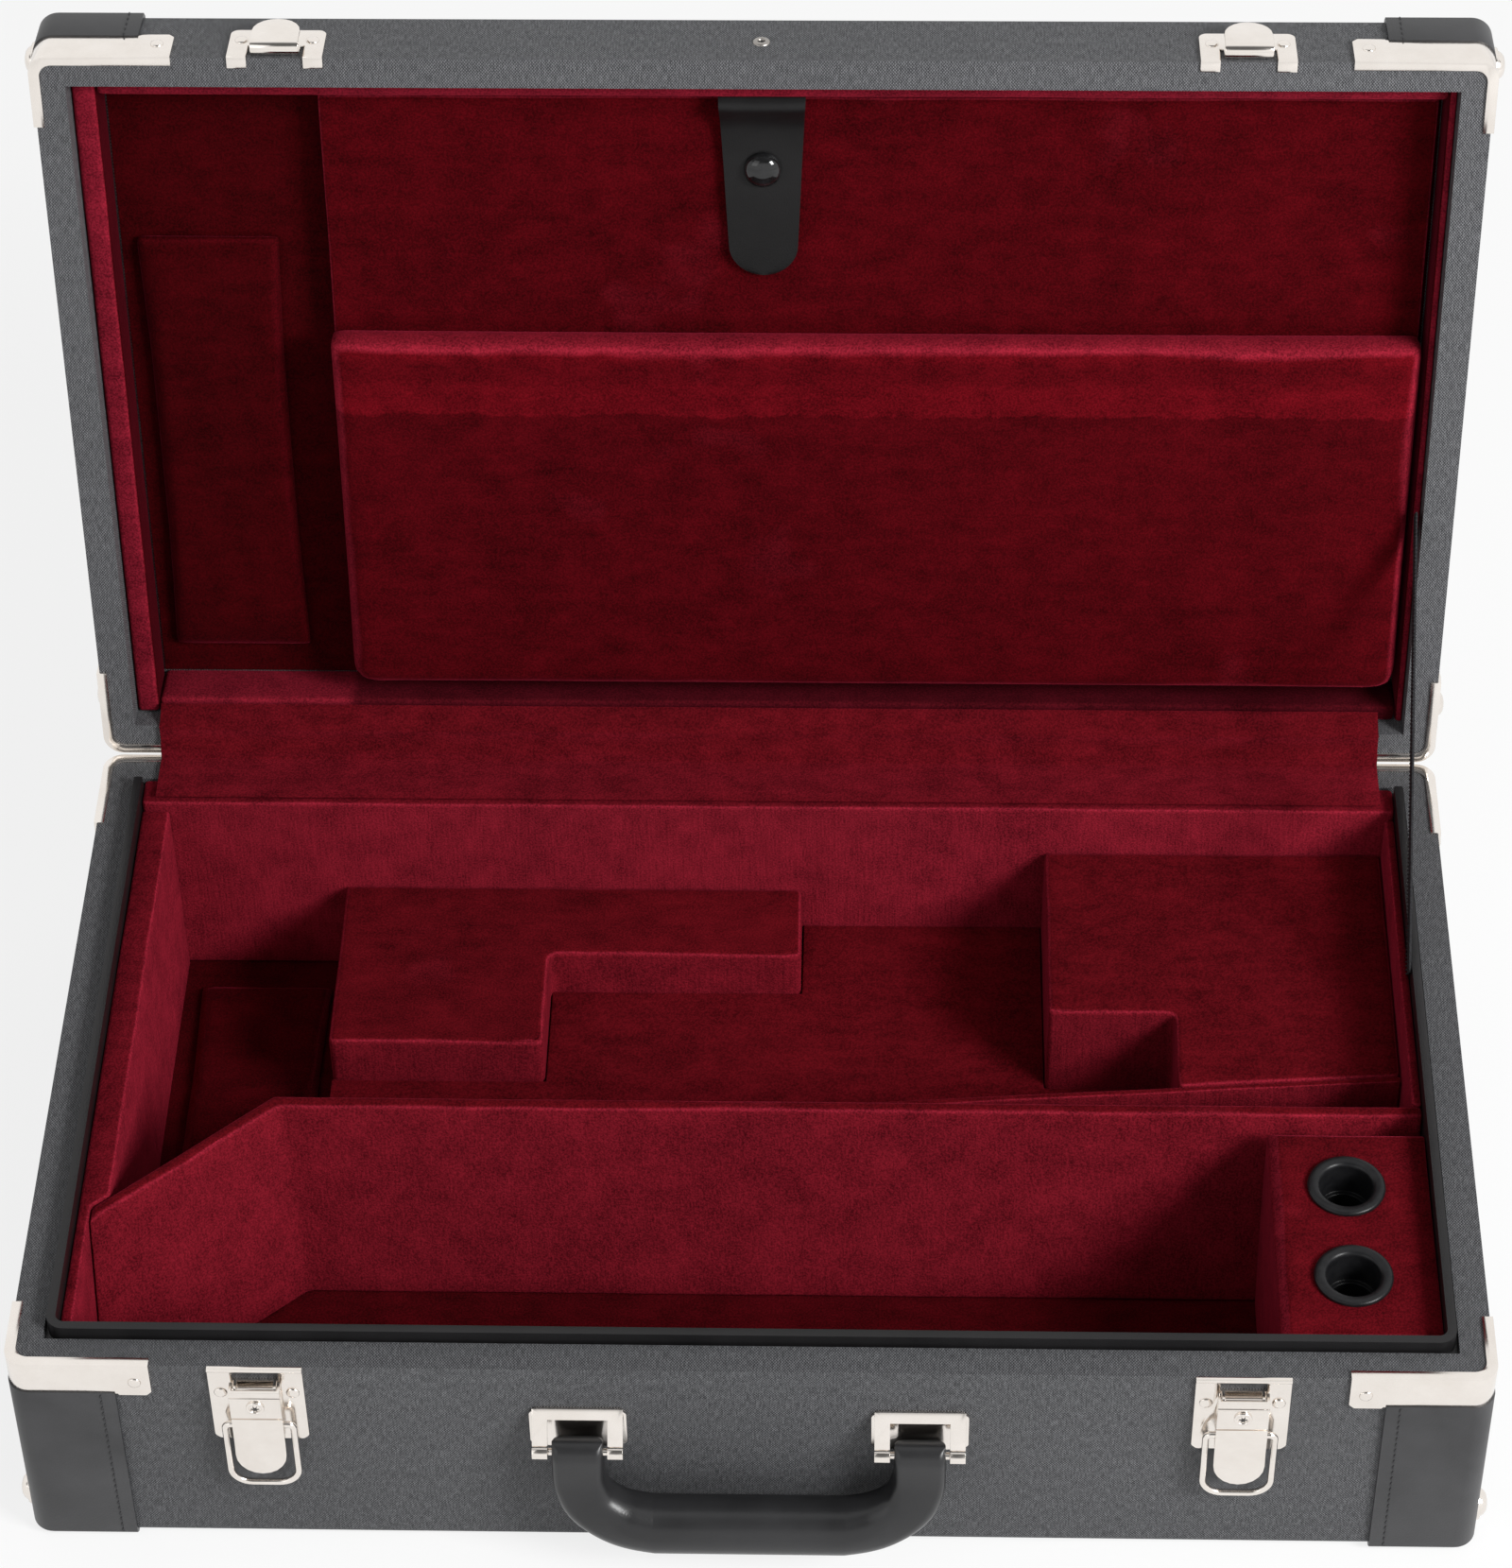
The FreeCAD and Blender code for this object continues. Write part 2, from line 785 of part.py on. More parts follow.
def rim_bracket(left, near, rim_z, away):
    # away is +1 where the shell lies above its rim and -1 where it lies below
    deep = rim_z + away * bracket_height
    foot = deep + away * bracket_tab_drop
    lip = rim_z - away * bracket_flange_thickness
    skin = shell_ring(bracket_thickness, 0, corner_radius, min(foot, rim_z), max(foot, rim_z))
    flange_low, flange_high = min(lip, rim_z), max(lip, rim_z)
    flange = shell_ring(
        bracket_thickness,
        bracket_flange,
        bracket_flange_radius,
        flange_low,
        flange_high,
    )
    side_arm = bracket_front_side_arm if near else bracket_back_side_arm
    outside_x = -side - wall
    stepped = deep + away * bracket_step
    steps = [
        (outside_x, rim_z),
        (outside_x, deep),
        (-side + bracket_step_reach - bracket_step, deep),
        (-side + bracket_step_reach, stepped),
        (-side + bracket_tab_reach - bracket_step, stepped),
        (-side + bracket_tab_reach, foot),
        (-side + bracket_long_arm, foot),
        (-side + bracket_long_arm, rim_z),
    ]
    y_near = front - wall if near else back - wall
    outline = clipped([V(x, y_near, z) for x, z in steps], [0, 0, 0, 0, 0, 0, bracket_end_cut, 0])
    long_arm = prism(outline, V(0, wall * 2, 0))
    arm_start = front if near else back
    arm_end = front + side_arm if near else back - side_arm
    side_points = [
        V(outside_x, arm_start, rim_z),
        V(outside_x, arm_start, deep),
        V(outside_x, arm_end, deep),
        V(outside_x, arm_end, rim_z),
    ]
    side_shape = prism(clipped(side_points, [0, 0, bracket_end_cut, 0]), V(wall * 2, 0, 0))
    corner = corner_box(bracket_long_arm, side_arm, True, near, flange_low, flange_high)
    body = skin.common(long_arm.fuse(side_shape)).fuse(flange.common(corner)).removeSplitter()
    return body if left else mirrored(body)


def bracket_rivets(rim_z, away):
    found = []
    z = rim_z + away * bracket_rivet_drop
    arm_x = side - bracket_long_arm + bracket_rivet_inset
    face = bracket_thickness
    for x in (-arm_x, arm_x):
        found.append(rivet(V(x, front - face, z), FORWARD, rivet_radius, rivet_rise))
        found.append(rivet(V(x, back + face, z), Y_AXIS, rivet_radius, rivet_rise))
    near_y = front + bracket_front_side_arm - side_rivet_inset
    far_y = back - bracket_back_side_arm + side_rivet_inset
    for sign in (-1, 1):
        for y in (near_y, far_y):
            at = V(sign * (side + face), y, z)
            found.append(rivet(at, V(sign, 0, 0), rivet_radius, rivet_rise))
    return found


corners = [(left, near) for left in (True, False) for near in (True, False)]
base_brackets = [rim_bracket(left, near, base_height, -1) for left, near in corners]
lid_brackets = [rim_bracket(left, near, lid_base, 1) for left, near in corners]
save("base_brackets", base_brackets)
save_lid("lid_brackets", lid_brackets)


# Leather guards wrap each upright corner, from the bracket to the flat of the board
def guards(body, grown, brackets, z0, z1):
    skin = grown.cut(body)
    pieces = []
    for left, near in corners:
        piece = skin.common(corner_box(guard_reach, guard_reach, left, near, z0, z1))
        for bracket in brackets:
            piece = piece.cut(bracket)
        pieces.append(piece)
    return pieces


base_grown = outer_block(guard_thickness, -guard_thickness, base_height, -guard_thickness)
lid_grown_top = lid_top + guard_thickness
lid_grown = outer_block(guard_thickness, lid_base, lid_grown_top, lid_grown_top)
base_guard_top = base_height - bracket_height
lid_guard_low = lid_base + bracket_height
save("base_corner_guards", guards(base_block, base_grown, base_brackets, 0, base_guard_top))
save_lid("lid_corner_guards", guards(lid_block, lid_grown, lid_brackets, lid_guard_low, lid_top))


# Glides: a turned disc with a low rim and a dome
def glide(at, outward):
    levels = [(glide_radius, 0)]
    levels += dome(deep_dome_shares, glide_radius, glide_rim, glide_rise - glide_rim)
    return turned(levels, glide_sides, at, outward)


def glide_set(z):
    found = []
    for sign in (-1, 1):
        for y in (front + glide_inset, back - glide_inset):
            found.append(glide(V(sign * (side + guard_thickness), y, z), V(sign, 0, 0)))
        found.append(glide(V(sign * (side - glide_back_inset), back + guard_thickness, z), Y_AXIS))
    return found


save("base_glides", glide_set(glide_inset))
save_lid("lid_glides", glide_set(lid_base + glide_lid_height))

# Latch plates: a flat plate with a rolled top, a window, and two ears that carry the lever
pivot_z = base_height - lever_pivot_drop
pivot_y = front - lever_pivot_proud
cheek_x = lever_width / 2
ear_outer = cheek_x - latch_sheet - ear_gap
latch_places = (-latch_offset, latch_offset)


def sides_of(x, near_edge, thickness):
    # Start of the left and the right copy of a sheet whose outer faces are near_edge from x
    return (x - near_edge, x + near_edge - thickness)


def latch_plate(x):
    half = latch_plate_width / 2
    top = base_height
    cuts = [latch_plate_cut, latch_plate_cut, 0, 0]
    sheet = upright(x - half, x + half, front, top - latch_plate_height, top, latch_sheet, cuts)
    slot_top = top - latch_slot_drop
    slot_half = latch_slot_width / 2
    slot_y = front - latch_sheet - overrun
    slot = block(
        x - slot_half,
        x + slot_half,
        slot_y,
        front + overrun,
        slot_top - latch_slot_height,
        slot_top,
    )
    roll_at = V(x - half, front - latch_roll_radius, top - latch_roll_radius)
    roll_levels = [(latch_roll_radius, 0), (latch_roll_radius, latch_plate_width)]
    pieces = [sheet.cut(slot), turned(roll_levels, rivet_sides, roll_at, X_AXIS)]
    for x0 in sides_of(x, ear_outer, ear_thickness):
        ear_levels = [(ear_radius, 0), (ear_radius, ear_thickness)]
        ear = turned(ear_levels, ear_sides, V(x0, pivot_y, pivot_z), X_AXIS)
        reach = ear_radius * math.cos(math.pi / ear_sides)
        stem = block(x0, x0 + ear_thickness, pivot_y, front, pivot_z - reach, pivot_z + reach)
        pieces.append(ear.fuse(stem))
    bore_start = V(x - half, pivot_y, pivot_z)
    return joined(pieces).cut(rod(lever_pin_radius, bore_start, X_AXIS, latch_plate_width))


def latch_rivets(x):
    y = front - latch_sheet
    z = base_height - latch_rivet_drop
    places = [V(x + s * latch_rivet_spread, y, z) for s in (-1, 1)]
    return [rivet(at, FORWARD, rivet_radius, rivet_rise) for at in places]


save("latch_plates", [latch_plate(x) for x in latch_places])


def round_tongue(x, half, y, z_straight, z_centre, outward, depth):
    # Tongue with a round end: straight from z_straight to z_centre, then half a turn
    turns = [math.pi * i / round_end_steps for i in range(round_end_steps + 1)]
    side_places = [x + half * math.cos(a) for a in turns]
    end_places = [z_centre + outward * half * math.sin(a) for a in turns]
    arc = [V(px, y, pz) for px, pz in zip(side_places, end_places)]
    return prism([V(x - half, y, z_straight), V(x + half, y, z_straight)] + arc, V(0, depth, 0))


# Levers: a folded channel with a lock face above and a tongue below
def latch_lever(x):
    face_y = front - lever_proud
    top = pivot_z + lever_top_rise
    tip = pivot_z - lever_tongue_drop
    crease = base_height - lever_crease_drop
    tongue_z = tip + cheek_x
    upper = block(x - cheek_x, x + cheek_x, face_y, face_y + latch_sheet, crease, top)
    # The tongue kicks out below the crease so that a finger can lift it
    lower = round_tongue(x, cheek_x, face_y, crease, tongue_z, -1, latch_sheet)
    kick = math.degrees(math.atan(lever_tip_lift / (crease - tip)))
    lower = swung(lower, V(x, face_y + latch_sheet, crease), X_AXIS, -kick)
    pieces = [upper, lower]
    cheek_back = front - lever_cheek_gap
    for x0 in sides_of(x, cheek_x, latch_sheet):
        cheek_points = [
            V(x0, face_y, top),
            V(x0, cheek_back, top),
            V(x0, cheek_back, pivot_z - lever_cheek_drop),
            V(x0, face_y, pivot_z - lever_cheek_drop - lever_cheek_corner),
        ]
        pieces.append(prism(cheek_points, V(latch_sheet, 0, 0)))
    ridge_at = V(x - cheek_x, face_y, pivot_z - lever_ridge_drop)
    ridge_levels = [(lever_ridge, 0), (lever_ridge, lever_width)]
    pieces.append(turned(ridge_levels, rivet_sides, ridge_at, X_AXIS))
    body = joined(pieces)
    pin_start = V(x - cheek_x - overrun, pivot_y, pivot_z)
    through = lever_width + overrun * 2
    body = body.cut(rod(lever_pin_radius + pin_play, pin_start, X_AXIS, through))
    bail_at = V(x - cheek_x - overrun, front - bail_pivot_proud, base_height - bail_pivot_drop)
    body = body.cut(rod(bail_wire + pin_play, bail_at, X_AXIS, through))
    groove_top = base_height - lever_groove_drop
    groove = block(
        x - cheek_x,
        x + cheek_x,
        face_y - overrun,
        face_y + lever_groove_depth,
        groove_top,
        groove_top + lever_groove,
    )
    return body.cut(groove)


def lock_boss(x):
    at = V(x, front - lever_proud, pivot_z - boss_drop)
    button = turned(dome(rivet_dome_shares, boss_radius, 0, boss_rise), ear_sides, at, FORWARD)
    half = boss_slot / 2
    long_half = boss_slot_length / 2
    slot = block(
        x - half,
        x + half,
        at.y - boss_rise - overrun,
        at.y - boss_rise / 2,
        at.z - long_half,
        at.z + long_half,
    )
    return button.cut(slot)


def bent_line(points, radii, steps):
    # Points along a bent wire: each corner becomes an arc of its radius in that many steps
    line = [points[0]]
    for i in range(1, len(points) - 1):
        here = points[i]
        before = (points[i - 1] - here).normalize()
        after = (points[i + 1] - here).normalize()
        half = before.getAngle(after) / 2
        middle = (before + after).normalize()
        radius = radii[i - 1]
        centre = here + middle * (radius / math.sin(half))
        start = here + before * (radius / math.tan(half)) - centre
        turn = math.pi - 2 * half
        axis = before.cross(after).normalize()
        for step in range(steps + 1):
            arm = FreeCAD.Rotation(axis, -math.degrees(turn) * step / steps).multVec(start)
            line.append(centre + arm)
    line.append(points[-1])
    return line


def wire_along(line, radius, sides, flat):
    # Many-sided wire along a line that lies in one plane, whose normal is flat
    rings = []
    last = len(line) - 1
    for i, here in enumerate(line):
        arrive = (here - line[i - 1]).normalize() if i > 0 else None
        leave = (line[i + 1] - here).normalize() if i < last else None
        runs = [r for r in (arrive, leave) if r is not None]
        along = (runs[0] + runs[-1]).normalize()
        stretch = 1 / along.dot(runs[0])
        across = along.cross(flat) * (radius * stretch)
        rise = flat * radius
        turn = 2 * math.pi / sides
        angles = [turn * k + turn / 2 for k in range(sides)]
        rings.append([here + across * math.cos(a) + rise * math.sin(a) for a in angles])
    return panelled(rings)


# Bails: a wire loop whose turned-in ends sit in the lever's cheeks
def bail(x):
    half = bail_width / 2 - bail_wire
    y = front - bail_pivot_proud
    z = base_height - bail_pivot_drop
    end = cheek_x - latch_sheet + bail_end_gap
    points = [
        V(x - end, y, z),
        V(x - half, y, z),
        V(x - half, y, z - bail_length),
        V(x + half, y, z - bail_length),
        V(x + half, y, z),
        V(x + end, y, z),
    ]
    radii = [bail_ear_bend, bail_corner, bail_corner, bail_ear_bend]
    return wire_along(bent_line(points, radii, bail_corner_steps), bail_wire, bail_sides, Y_AXIS)


for name, x in zip(("left", "right"), latch_places):
    save("latch_lever_" + name, [latch_lever(x)])
    save("lock_boss_" + name, [lock_boss(x)])
    save("latch_bail_" + name, [bail(x)])


# Keepers: a riveted plate whose tongue turns up in front of it, with two lugs under the rim
def keeper(x):
    half = keeper_width / 2
    cuts = [0, 0, keeper_cut, keeper_cut]
    sheet_top = lid_base + keeper_height
    sheet = upright(x - half, x + half, front, lid_base, sheet_top, latch_sheet, cuts)
    tongue_half = keeper_tongue_width / 2
    notch_half = tongue_half + keeper_notch
    inner = keeper_tongue_gap / 2
    outer = inner + latch_sheet
    bend_y = front - outer
    bend_z = lid_base + keeper_tongue_seat + outer
    window_y = front - latch_sheet - overrun
    low = lid_base - overrun
    notch_top = lid_base + keeper_notch_height
    window = block(x - notch_half, x + notch_half, window_y, front + overrun, low, notch_top)
    stem = block(x - tongue_half, x + tongue_half, window_y, front + overrun, bend_z, notch_top)
    sheet = sheet.cut(window.cut(stem))
    tube_start = V(x - tongue_half, bend_y, bend_z)
    tube = rod(outer, tube_start, X_AXIS, keeper_tongue_width)
    tube = tube.cut(rod(inner, tube_start, X_AXIS, keeper_tongue_width))
    bend_box = block(
        x - tongue_half,
        x + tongue_half,
        bend_y - outer,
        bend_y + outer,
        bend_z - outer,
        bend_z,
    )
    middle = lid_base + keeper_tongue_rise - tongue_half
    tongue = round_tongue(x, tongue_half, bend_y - outer, bend_z, middle, 1, latch_sheet)
    pieces = [sheet, tube.common(bend_box), tongue]
    for x0, x1 in ((x - half, x - notch_half), (x + notch_half, x + half)):
        lug_low = lid_base - bracket_flange_thickness
        pieces.append(block(x0, x1, front - latch_sheet, front + keeper_lug, lug_low, lid_base))
    return joined(pieces)


def keeper_rivets(x):
    y = front - latch_sheet
    z = lid_base + keeper_rivet_rise
    places = [V(x + s * latch_rivet_spread, y, z) for s in (-1, 1)]
    return [rivet(at, FORWARD, rivet_radius, rivet_rise) for at in places]


save_lid("latch_keepers", [keeper(x) for x in latch_places])
eyelet = rivet(V(0, front, lid_base + eyelet_height), FORWARD, eyelet_radius, eyelet_rise)
base_rivets = bracket_rivets(base_height, -1)
lid_rivets = bracket_rivets(lid_base, 1) + [eyelet]
for x in latch_places:
    base_rivets += latch_rivets(x)
    lid_rivets += keeper_rivets(x)
save("base_rivets", base_rivets)
save_lid("lid_rivets", lid_rivets)

# Handle brackets: a back plate, and a hoop folded from its top that ends in two knuckles
pin_y = front - handle_pin_proud
pin_z = base_height - handle_pin_drop


def handle_bracket(x):
    half = handle_plate_width / 2
    top = base_height - handle_plate_top_drop
    cuts = [handle_plate_cut] * 4
    plate = upright(x - half, x + half, front, top - handle_plate_height, top, latch_sheet, cuts)
    crown = V(0, front - latch_sheet, top)
    knee = V(0, pin_y, pin_z + knuckle_radius)
    run = (knee - crown).normalize()
    across = V(0, run.z, -run.y) * hoop_sheet
    strip = [crown, crown - across, knee - across, knee]
    hoop_half = hoop_width / 2

    def strip_from(x0, length):
        return prism([V(x0, p.y, p.z) for p in strip], V(length, 0, 0))

    bar_box = block(
        x - hoop_half,
        x + hoop_half,
        pin_y - knuckle_radius,
        front,
        top - hoop_bar,
        top + hoop_bar,
    )
    pieces = [plate, strip_from(x - hoop_half, hoop_width).common(bar_box)]
    for x0 in sides_of(x, hoop_half, hoop_leg):
        pieces.append(strip_from(x0, hoop_leg))
        barrel = [(knuckle_radius, 0), (knuckle_radius, hoop_leg)]
        pieces.append(turned(barrel, knuckle_sides, V(x0, pin_y, pin_z), X_AXIS))
    bore_start = V(x - hoop_half - overrun, pin_y, pin_z)
    return joined(pieces).cut(rod(handle_pin_radius, bore_start, X_AXIS, hoop_width + overrun * 2))


save("handle_brackets", [handle_bracket(x) for x in (-handle_x, handle_x)])

# Grip: a moulded bow that swells from its flat legs to a round bar
grip_y = front - grip_bar_proud
corner_steps = 2


def grip_outline(width, depth, corner):
    # Rounded oblong about the origin, as a many-sided outline
    points = []
    for quarter, (sx, sy) in enumerate(((1, 1), (-1, 1), (-1, -1), (1, -1))):
        cx, cy = sx * (width / 2 - corner), sy * (depth / 2 - corner)
        for step in range(corner_steps + 1):
            angle = math.pi / 2 * (quarter + step / corner_steps)
            points.append(V(cx + corner * math.cos(angle), cy + corner * math.sin(angle), 0))
    return points


def grip_ring(x, y, z, turn, swell):
    width = grip_leg_width + (grip_diameter - grip_leg_width) * swell
    depth = grip_leg_thickness + (grip_diameter - grip_leg_thickness) * swell
    corner = grip_leg_corner + (grip_bar_corner - grip_leg_corner) * swell
    place = FreeCAD.Placement(V(x, y, z), FreeCAD.Rotation(Y_AXIS, turn))
    return [place.multVec(p) for p in grip_outline(width, depth, corner)]


left_rings = []
right_rings = []
for inward, drop, swell, turn in grip_shares:
    x = handle_x - grip_elbow * inward
    y = pin_y + (grip_y - pin_y) * swell
    z = pin_z - grip_drop * drop
    left_rings.append(grip_ring(-x, y, z, -turn, swell))
    right_rings.insert(0, [V(-p.x, p.y, p.z) for p in left_rings[-1]])
bow = panelled(left_rings + right_rings)
pieces = [bow]
leg_half = grip_leg_thickness / 2
for sign in (-1, 1):
    ends = grip_outline(grip_leg_width, grip_leg_thickness, grip_leg_corner)
    at = V(sign * handle_x, pin_y, pin_z)
    leg = Part.Face(loop([at + p for p in ends])).extrude(V(0, 0, grip_leg_thickness))
    crown_levels = [(leg_half / math.cos(math.pi / knuckle_sides), 0)]
    crown_levels.append((crown_levels[0][0], grip_leg_width + overrun * 2))
    crown_at = at - V(grip_leg_width / 2 + overrun, 0, 0)
    pieces.append(leg.common(turned(crown_levels, knuckle_sides, crown_at, X_AXIS)))
grip = joined(pieces)
bore_from = V(-handle_x - grip_leg_width, pin_y, pin_z)
bore_run = handle_spacing + grip_leg_width * 2
save("handle_grip", [grip.cut(rod(handle_pin_radius + pin_play, bore_from, X_AXIS, bore_run))])


def pin(radius, x, y, z, length):
    levels = [(radius, 0), (radius, length)]
    return turned(levels, knuckle_sides, V(x - length / 2, y, z), X_AXIS)


# Hinges: leaves on both backs; each pin is peened fast in the base leaf's barrels
def hinge_leaf(x, lower):
    half = hinge_leaf_width / 2
    sign = -1 if lower else 1
    rim = hinge_z + sign * hinge_leaf_clear
    far = hinge_z + sign * hinge_leaf_height
    pieces = [block(x - half, x + half, back, back + latch_sheet, min(rim, far), max(rim, far))]
    third = hinge_leaf_width / 3
    spans = [(x - half + third + hinge_knuckle_gap, x + half - third - hinge_knuckle_gap)]
    if lower:
        spans = [(x - half, x - half + third), (x + half - third, x + half)]
        pieces.append(pin(hinge_pin_radius, x, hinge_y, hinge_z, hinge_leaf_width))
    for x0, x1 in spans:
        barrel = [(hinge_barrel_radius, 0), (hinge_barrel_radius, x1 - x0)]
        pieces.append(turned(barrel, knuckle_sides, V(x0, hinge_y, hinge_z), X_AXIS))
        low, high = min(hinge_z, rim), max(hinge_z, rim)
        pieces.append(block(x0, x1, back, back + latch_sheet, low, high))
    leaf = joined(pieces)
    if lower:
        return leaf
    start = V(x - half - overrun, hinge_y, hinge_z)
    bore = hinge_pin_radius + pin_play
    return leaf.cut(rod(bore, start, X_AXIS, hinge_leaf_width + overrun * 2))


hinge_spacing = (case_width - hinge_inset * 2) / (hinge_count - 1)
hinge_places = [hinge_spacing * (i - (hinge_count - 1) / 2) for i in range(hinge_count)]
save("base_hinge_leaves", [hinge_leaf(x, True) for x in hinge_places])
save_lid("lid_hinge_leaves", [hinge_leaf(x, False) for x in hinge_places])


# Pins of the levers and the handle
pins = [pin(lever_pin_radius, x, pivot_y, pivot_z, lever_width) for x in latch_places]
pins += [pin(handle_pin_radius, x, pin_y, pin_z, hoop_width) for x in (-handle_x, handle_x)]
save("pivot_pins", pins)

# Lid linings: a velvet sheet under the top board and a pad along each wall
lid_sheet = block(
    lid_left_face,
    lid_right_face,
    lid_front_face,
    lid_back_face,
    lid_ceiling,
    lid_board_low,
)
save_lid("lid_lining", [lid_sheet])


def lid_pad(name, x0, x1, y0, y1, chosen):
    pad = block(x0, x1, y0, y1, lid_pad_low, lid_board_low)
    inner = lambda e: level(e, lid_pad_low) and chosen(e.BoundBox)
    save_lid(name, [soften(pad, lid_pad_radius, inner)])


lid_pad(
    "lid_left_pad", -inner_x, lid_left_face, inner_front, inner_back,
    lambda b: b.XMin > lid_left_face - tolerance,
)
lid_pad(
    "lid_right_pad", lid_right_face, inner_x, inner_front, inner_back,
    lambda b: b.XMax < lid_right_face + tolerance,
)
lid_pad(
    "lid_front_pad", lid_left_face, lid_right_face, inner_front, lid_front_face,
    lambda b: b.YMin > lid_front_face - tolerance,
)
lid_pad(
    "lid_back_pad", lid_left_face, lid_right_face, lid_back_face, inner_back,
    lambda b: b.YMax < lid_back_face + tolerance,
)

# The recess pad hangs from the lining while the lid is shut, so its wide foot is uppermost
recess_left = lid_left_face + recess_pad_left_gap
recess_pad = bevelled_pad(
    recess_left,
    recess_left + recess_pad_width,
    lid_front_face + recess_pad_front_gap,
    lid_back_face - recess_pad_back_gap,
    lid_ceiling,
    lid_ceiling - recess_pad_height,
    recess_pad_bevel,
)
save_lid("recess_pad", [recess_pad])

# Flap with its padded block, the rib it rests on and the cloth that hinges it
flap_inner = flap_face + flap_thickness
flap_board = block(flap_left, flap_right, flap_front, flap_back, flap_face, flap_inner)
flap_board = soften(
    flap_board,
    flap_edge_radius,
    lambda e: level(e, flap_face) and e.BoundBox.YMin < flap_back - tolerance,
)
save_lid("flap_board", [flap_board])
block_x0 = flap_left - flap_block_left_overhang
block_x1 = flap_right + flap_block_right_overhang
block_y0 = flap_front + flap_block_front_inset
block_y1 = flap_back - flap_block_back_inset
block_points = [
    V(block_x0, block_y0, flap_face),
    V(block_x1, block_y0, flap_face),
    V(block_x1, block_y1, flap_face),
    V(block_x0, block_y1, flap_face),
]
block_radii = [
    flap_block_front_corner,
    flap_block_front_corner,
    flap_block_corner,
    flap_block_corner,
]
flap_block = prism(block_points, V(0, 0, -flap_block_thickness), block_radii)
block_low = flap_face - flap_block_thickness
flap_block = bevel(flap_block, flap_block_edge, lambda e: level(e, block_low))
save_lid("flap_block", [flap_block])
rib_left = flap_left + flap_rest_inset
rib_right = rib_left + flap_rest_width
rib_low = flap_inner + flap_rest_gap
rib = block(rib_left, rib_right, lid_front_face, lid_back_face, rib_low, lid_ceiling)
save_lid("flap_rest", [rib])
cloth_y = flap_back + flap_hinge_gap
cloth = block(
    rib_right + flap_hinge_end,
    flap_right - flap_hinge_end,
    cloth_y,
    cloth_y + flap_hinge_cloth,
    flap_face + flap_hinge_gap,
    lid_ceiling,
)
save_lid("flap_hinge_cloth", [cloth])
root_y = lid_front_face + tab_clear
cap_y = root_y + tab_cap_reach
save_lid("flap_stud", [rivet(V(0, cap_y, flap_face), DOWN, stud_radius, stud_rise)])

# Snap tab: a strap that bows out of the front lining and lies down over the flap
strap_back = flap_face - stud_rise - tab_clear
strap_face = strap_back - tab_thickness
strap_line = [
    V(0, root_y, lid_base + tab_root_depth),
    V(0, root_y + tab_crown_reach, lid_base + tab_crown_depth),
    V(0, root_y + tab_fall_reach, strap_face),
    V(0, root_y + tab_reach, strap_face),
]
strap_inner = offset_line([V(p.z, p.y, 0) for p in strap_line], tab_thickness)
strap_inner = [V(0, p.y, p.x) for p in strap_inner]
strap_inner[0] = V(0, root_y, strap_line[0].z + tab_thickness)
strap_half = tab_width / 2
strap_outline = [V(-strap_half, p.y, p.z) for p in strap_line + strap_inner[::-1]]
strap = prism(strap_outline, V(tab_width, 0, 0))
tip_half = tab_tip_width / 2
tip_y = root_y + tab_reach - tip_half
tip_turns = [math.pi * i / round_end_steps for i in range(round_end_steps + 1)]
tip_arc = [V(tip_half * math.cos(a), tip_y + tip_half * math.sin(a), lid_base) for a in tip_turns]
tab_points = [V(-strap_half, root_y, lid_base), V(strap_half, root_y, lid_base)] + tip_arc
save_lid("tab_strap", [strap.common(prism(tab_points, V(0, 0, lid_height)))])
cap_levels = [(tab_cap_radius, 0)]
cap_levels += dome(deep_dome_shares, tab_cap_radius, tab_cap_rim, tab_cap_rise - tab_cap_rim)
save_lid("tab_cap", [turned(cap_levels, tab_cap_sides, V(0, cap_y, strap_face), DOWN)])


# Velvet band: from the base's back pad, over both rims, to the lid's back pad
def lid_place(y, z):
    # Where a point of the shut lid lies once the lid is open
    swing = FreeCAD.Rotation(X_AXIS, -lid_open_angle)
    centre = V(0, hinge_y, hinge_z)
    return centre + swing.multVec(V(0, y, z) - centre)


rim_clear = bracket_flange_thickness + band_lift
band_start = V(0, back_pad_face + pad_edge_radius, base_height + rim_clear)
band_low = V(0, back - hinge_proud, base_height + rim_clear)
band_high = lid_place(back - wall / 2, lid_base - rim_clear)
band_rim = lid_place(inner_back, lid_base - rim_clear)
band_top = lid_place(lid_back_face + lid_pad_radius, lid_pad_low - band_lift)
diagonal = V(0, -1, 1).normalize()
band_bulge = (band_high.z - band_low.z) * band_bulge_share
band_middle = (band_low + band_high) * 0.5 + diagonal * band_bulge


def band_side(shift):
    # One face of the band, moved up and forward by the given thickness
    up = V(0, 0, shift)
    forward = V(0, -shift, 0)
    low, high = band_low + up, band_high + forward
    turn = Part.Arc(low, band_middle + diagonal * shift, high).toShape()
    rim, top = band_rim + forward, band_top + diagonal * shift
    start_line = Part.makeLine(band_start + up, low)
    return [start_line, turn, Part.makeLine(high, rim), Part.makeLine(rim, top)]


under = band_side(0)
over = band_side(band_thickness)
ends = [
    Part.makeLine(band_start, band_start + V(0, 0, band_thickness)),
    Part.makeLine(band_top, band_top + diagonal * band_thickness),
]
band = Part.Face(Part.Wire(Part.sortEdges(under + over + ends)[0])).extrude(V(band_end * 2, 0, 0))
band.translate(V(-band_end, 0, 0))
save("hinge_band", [band])

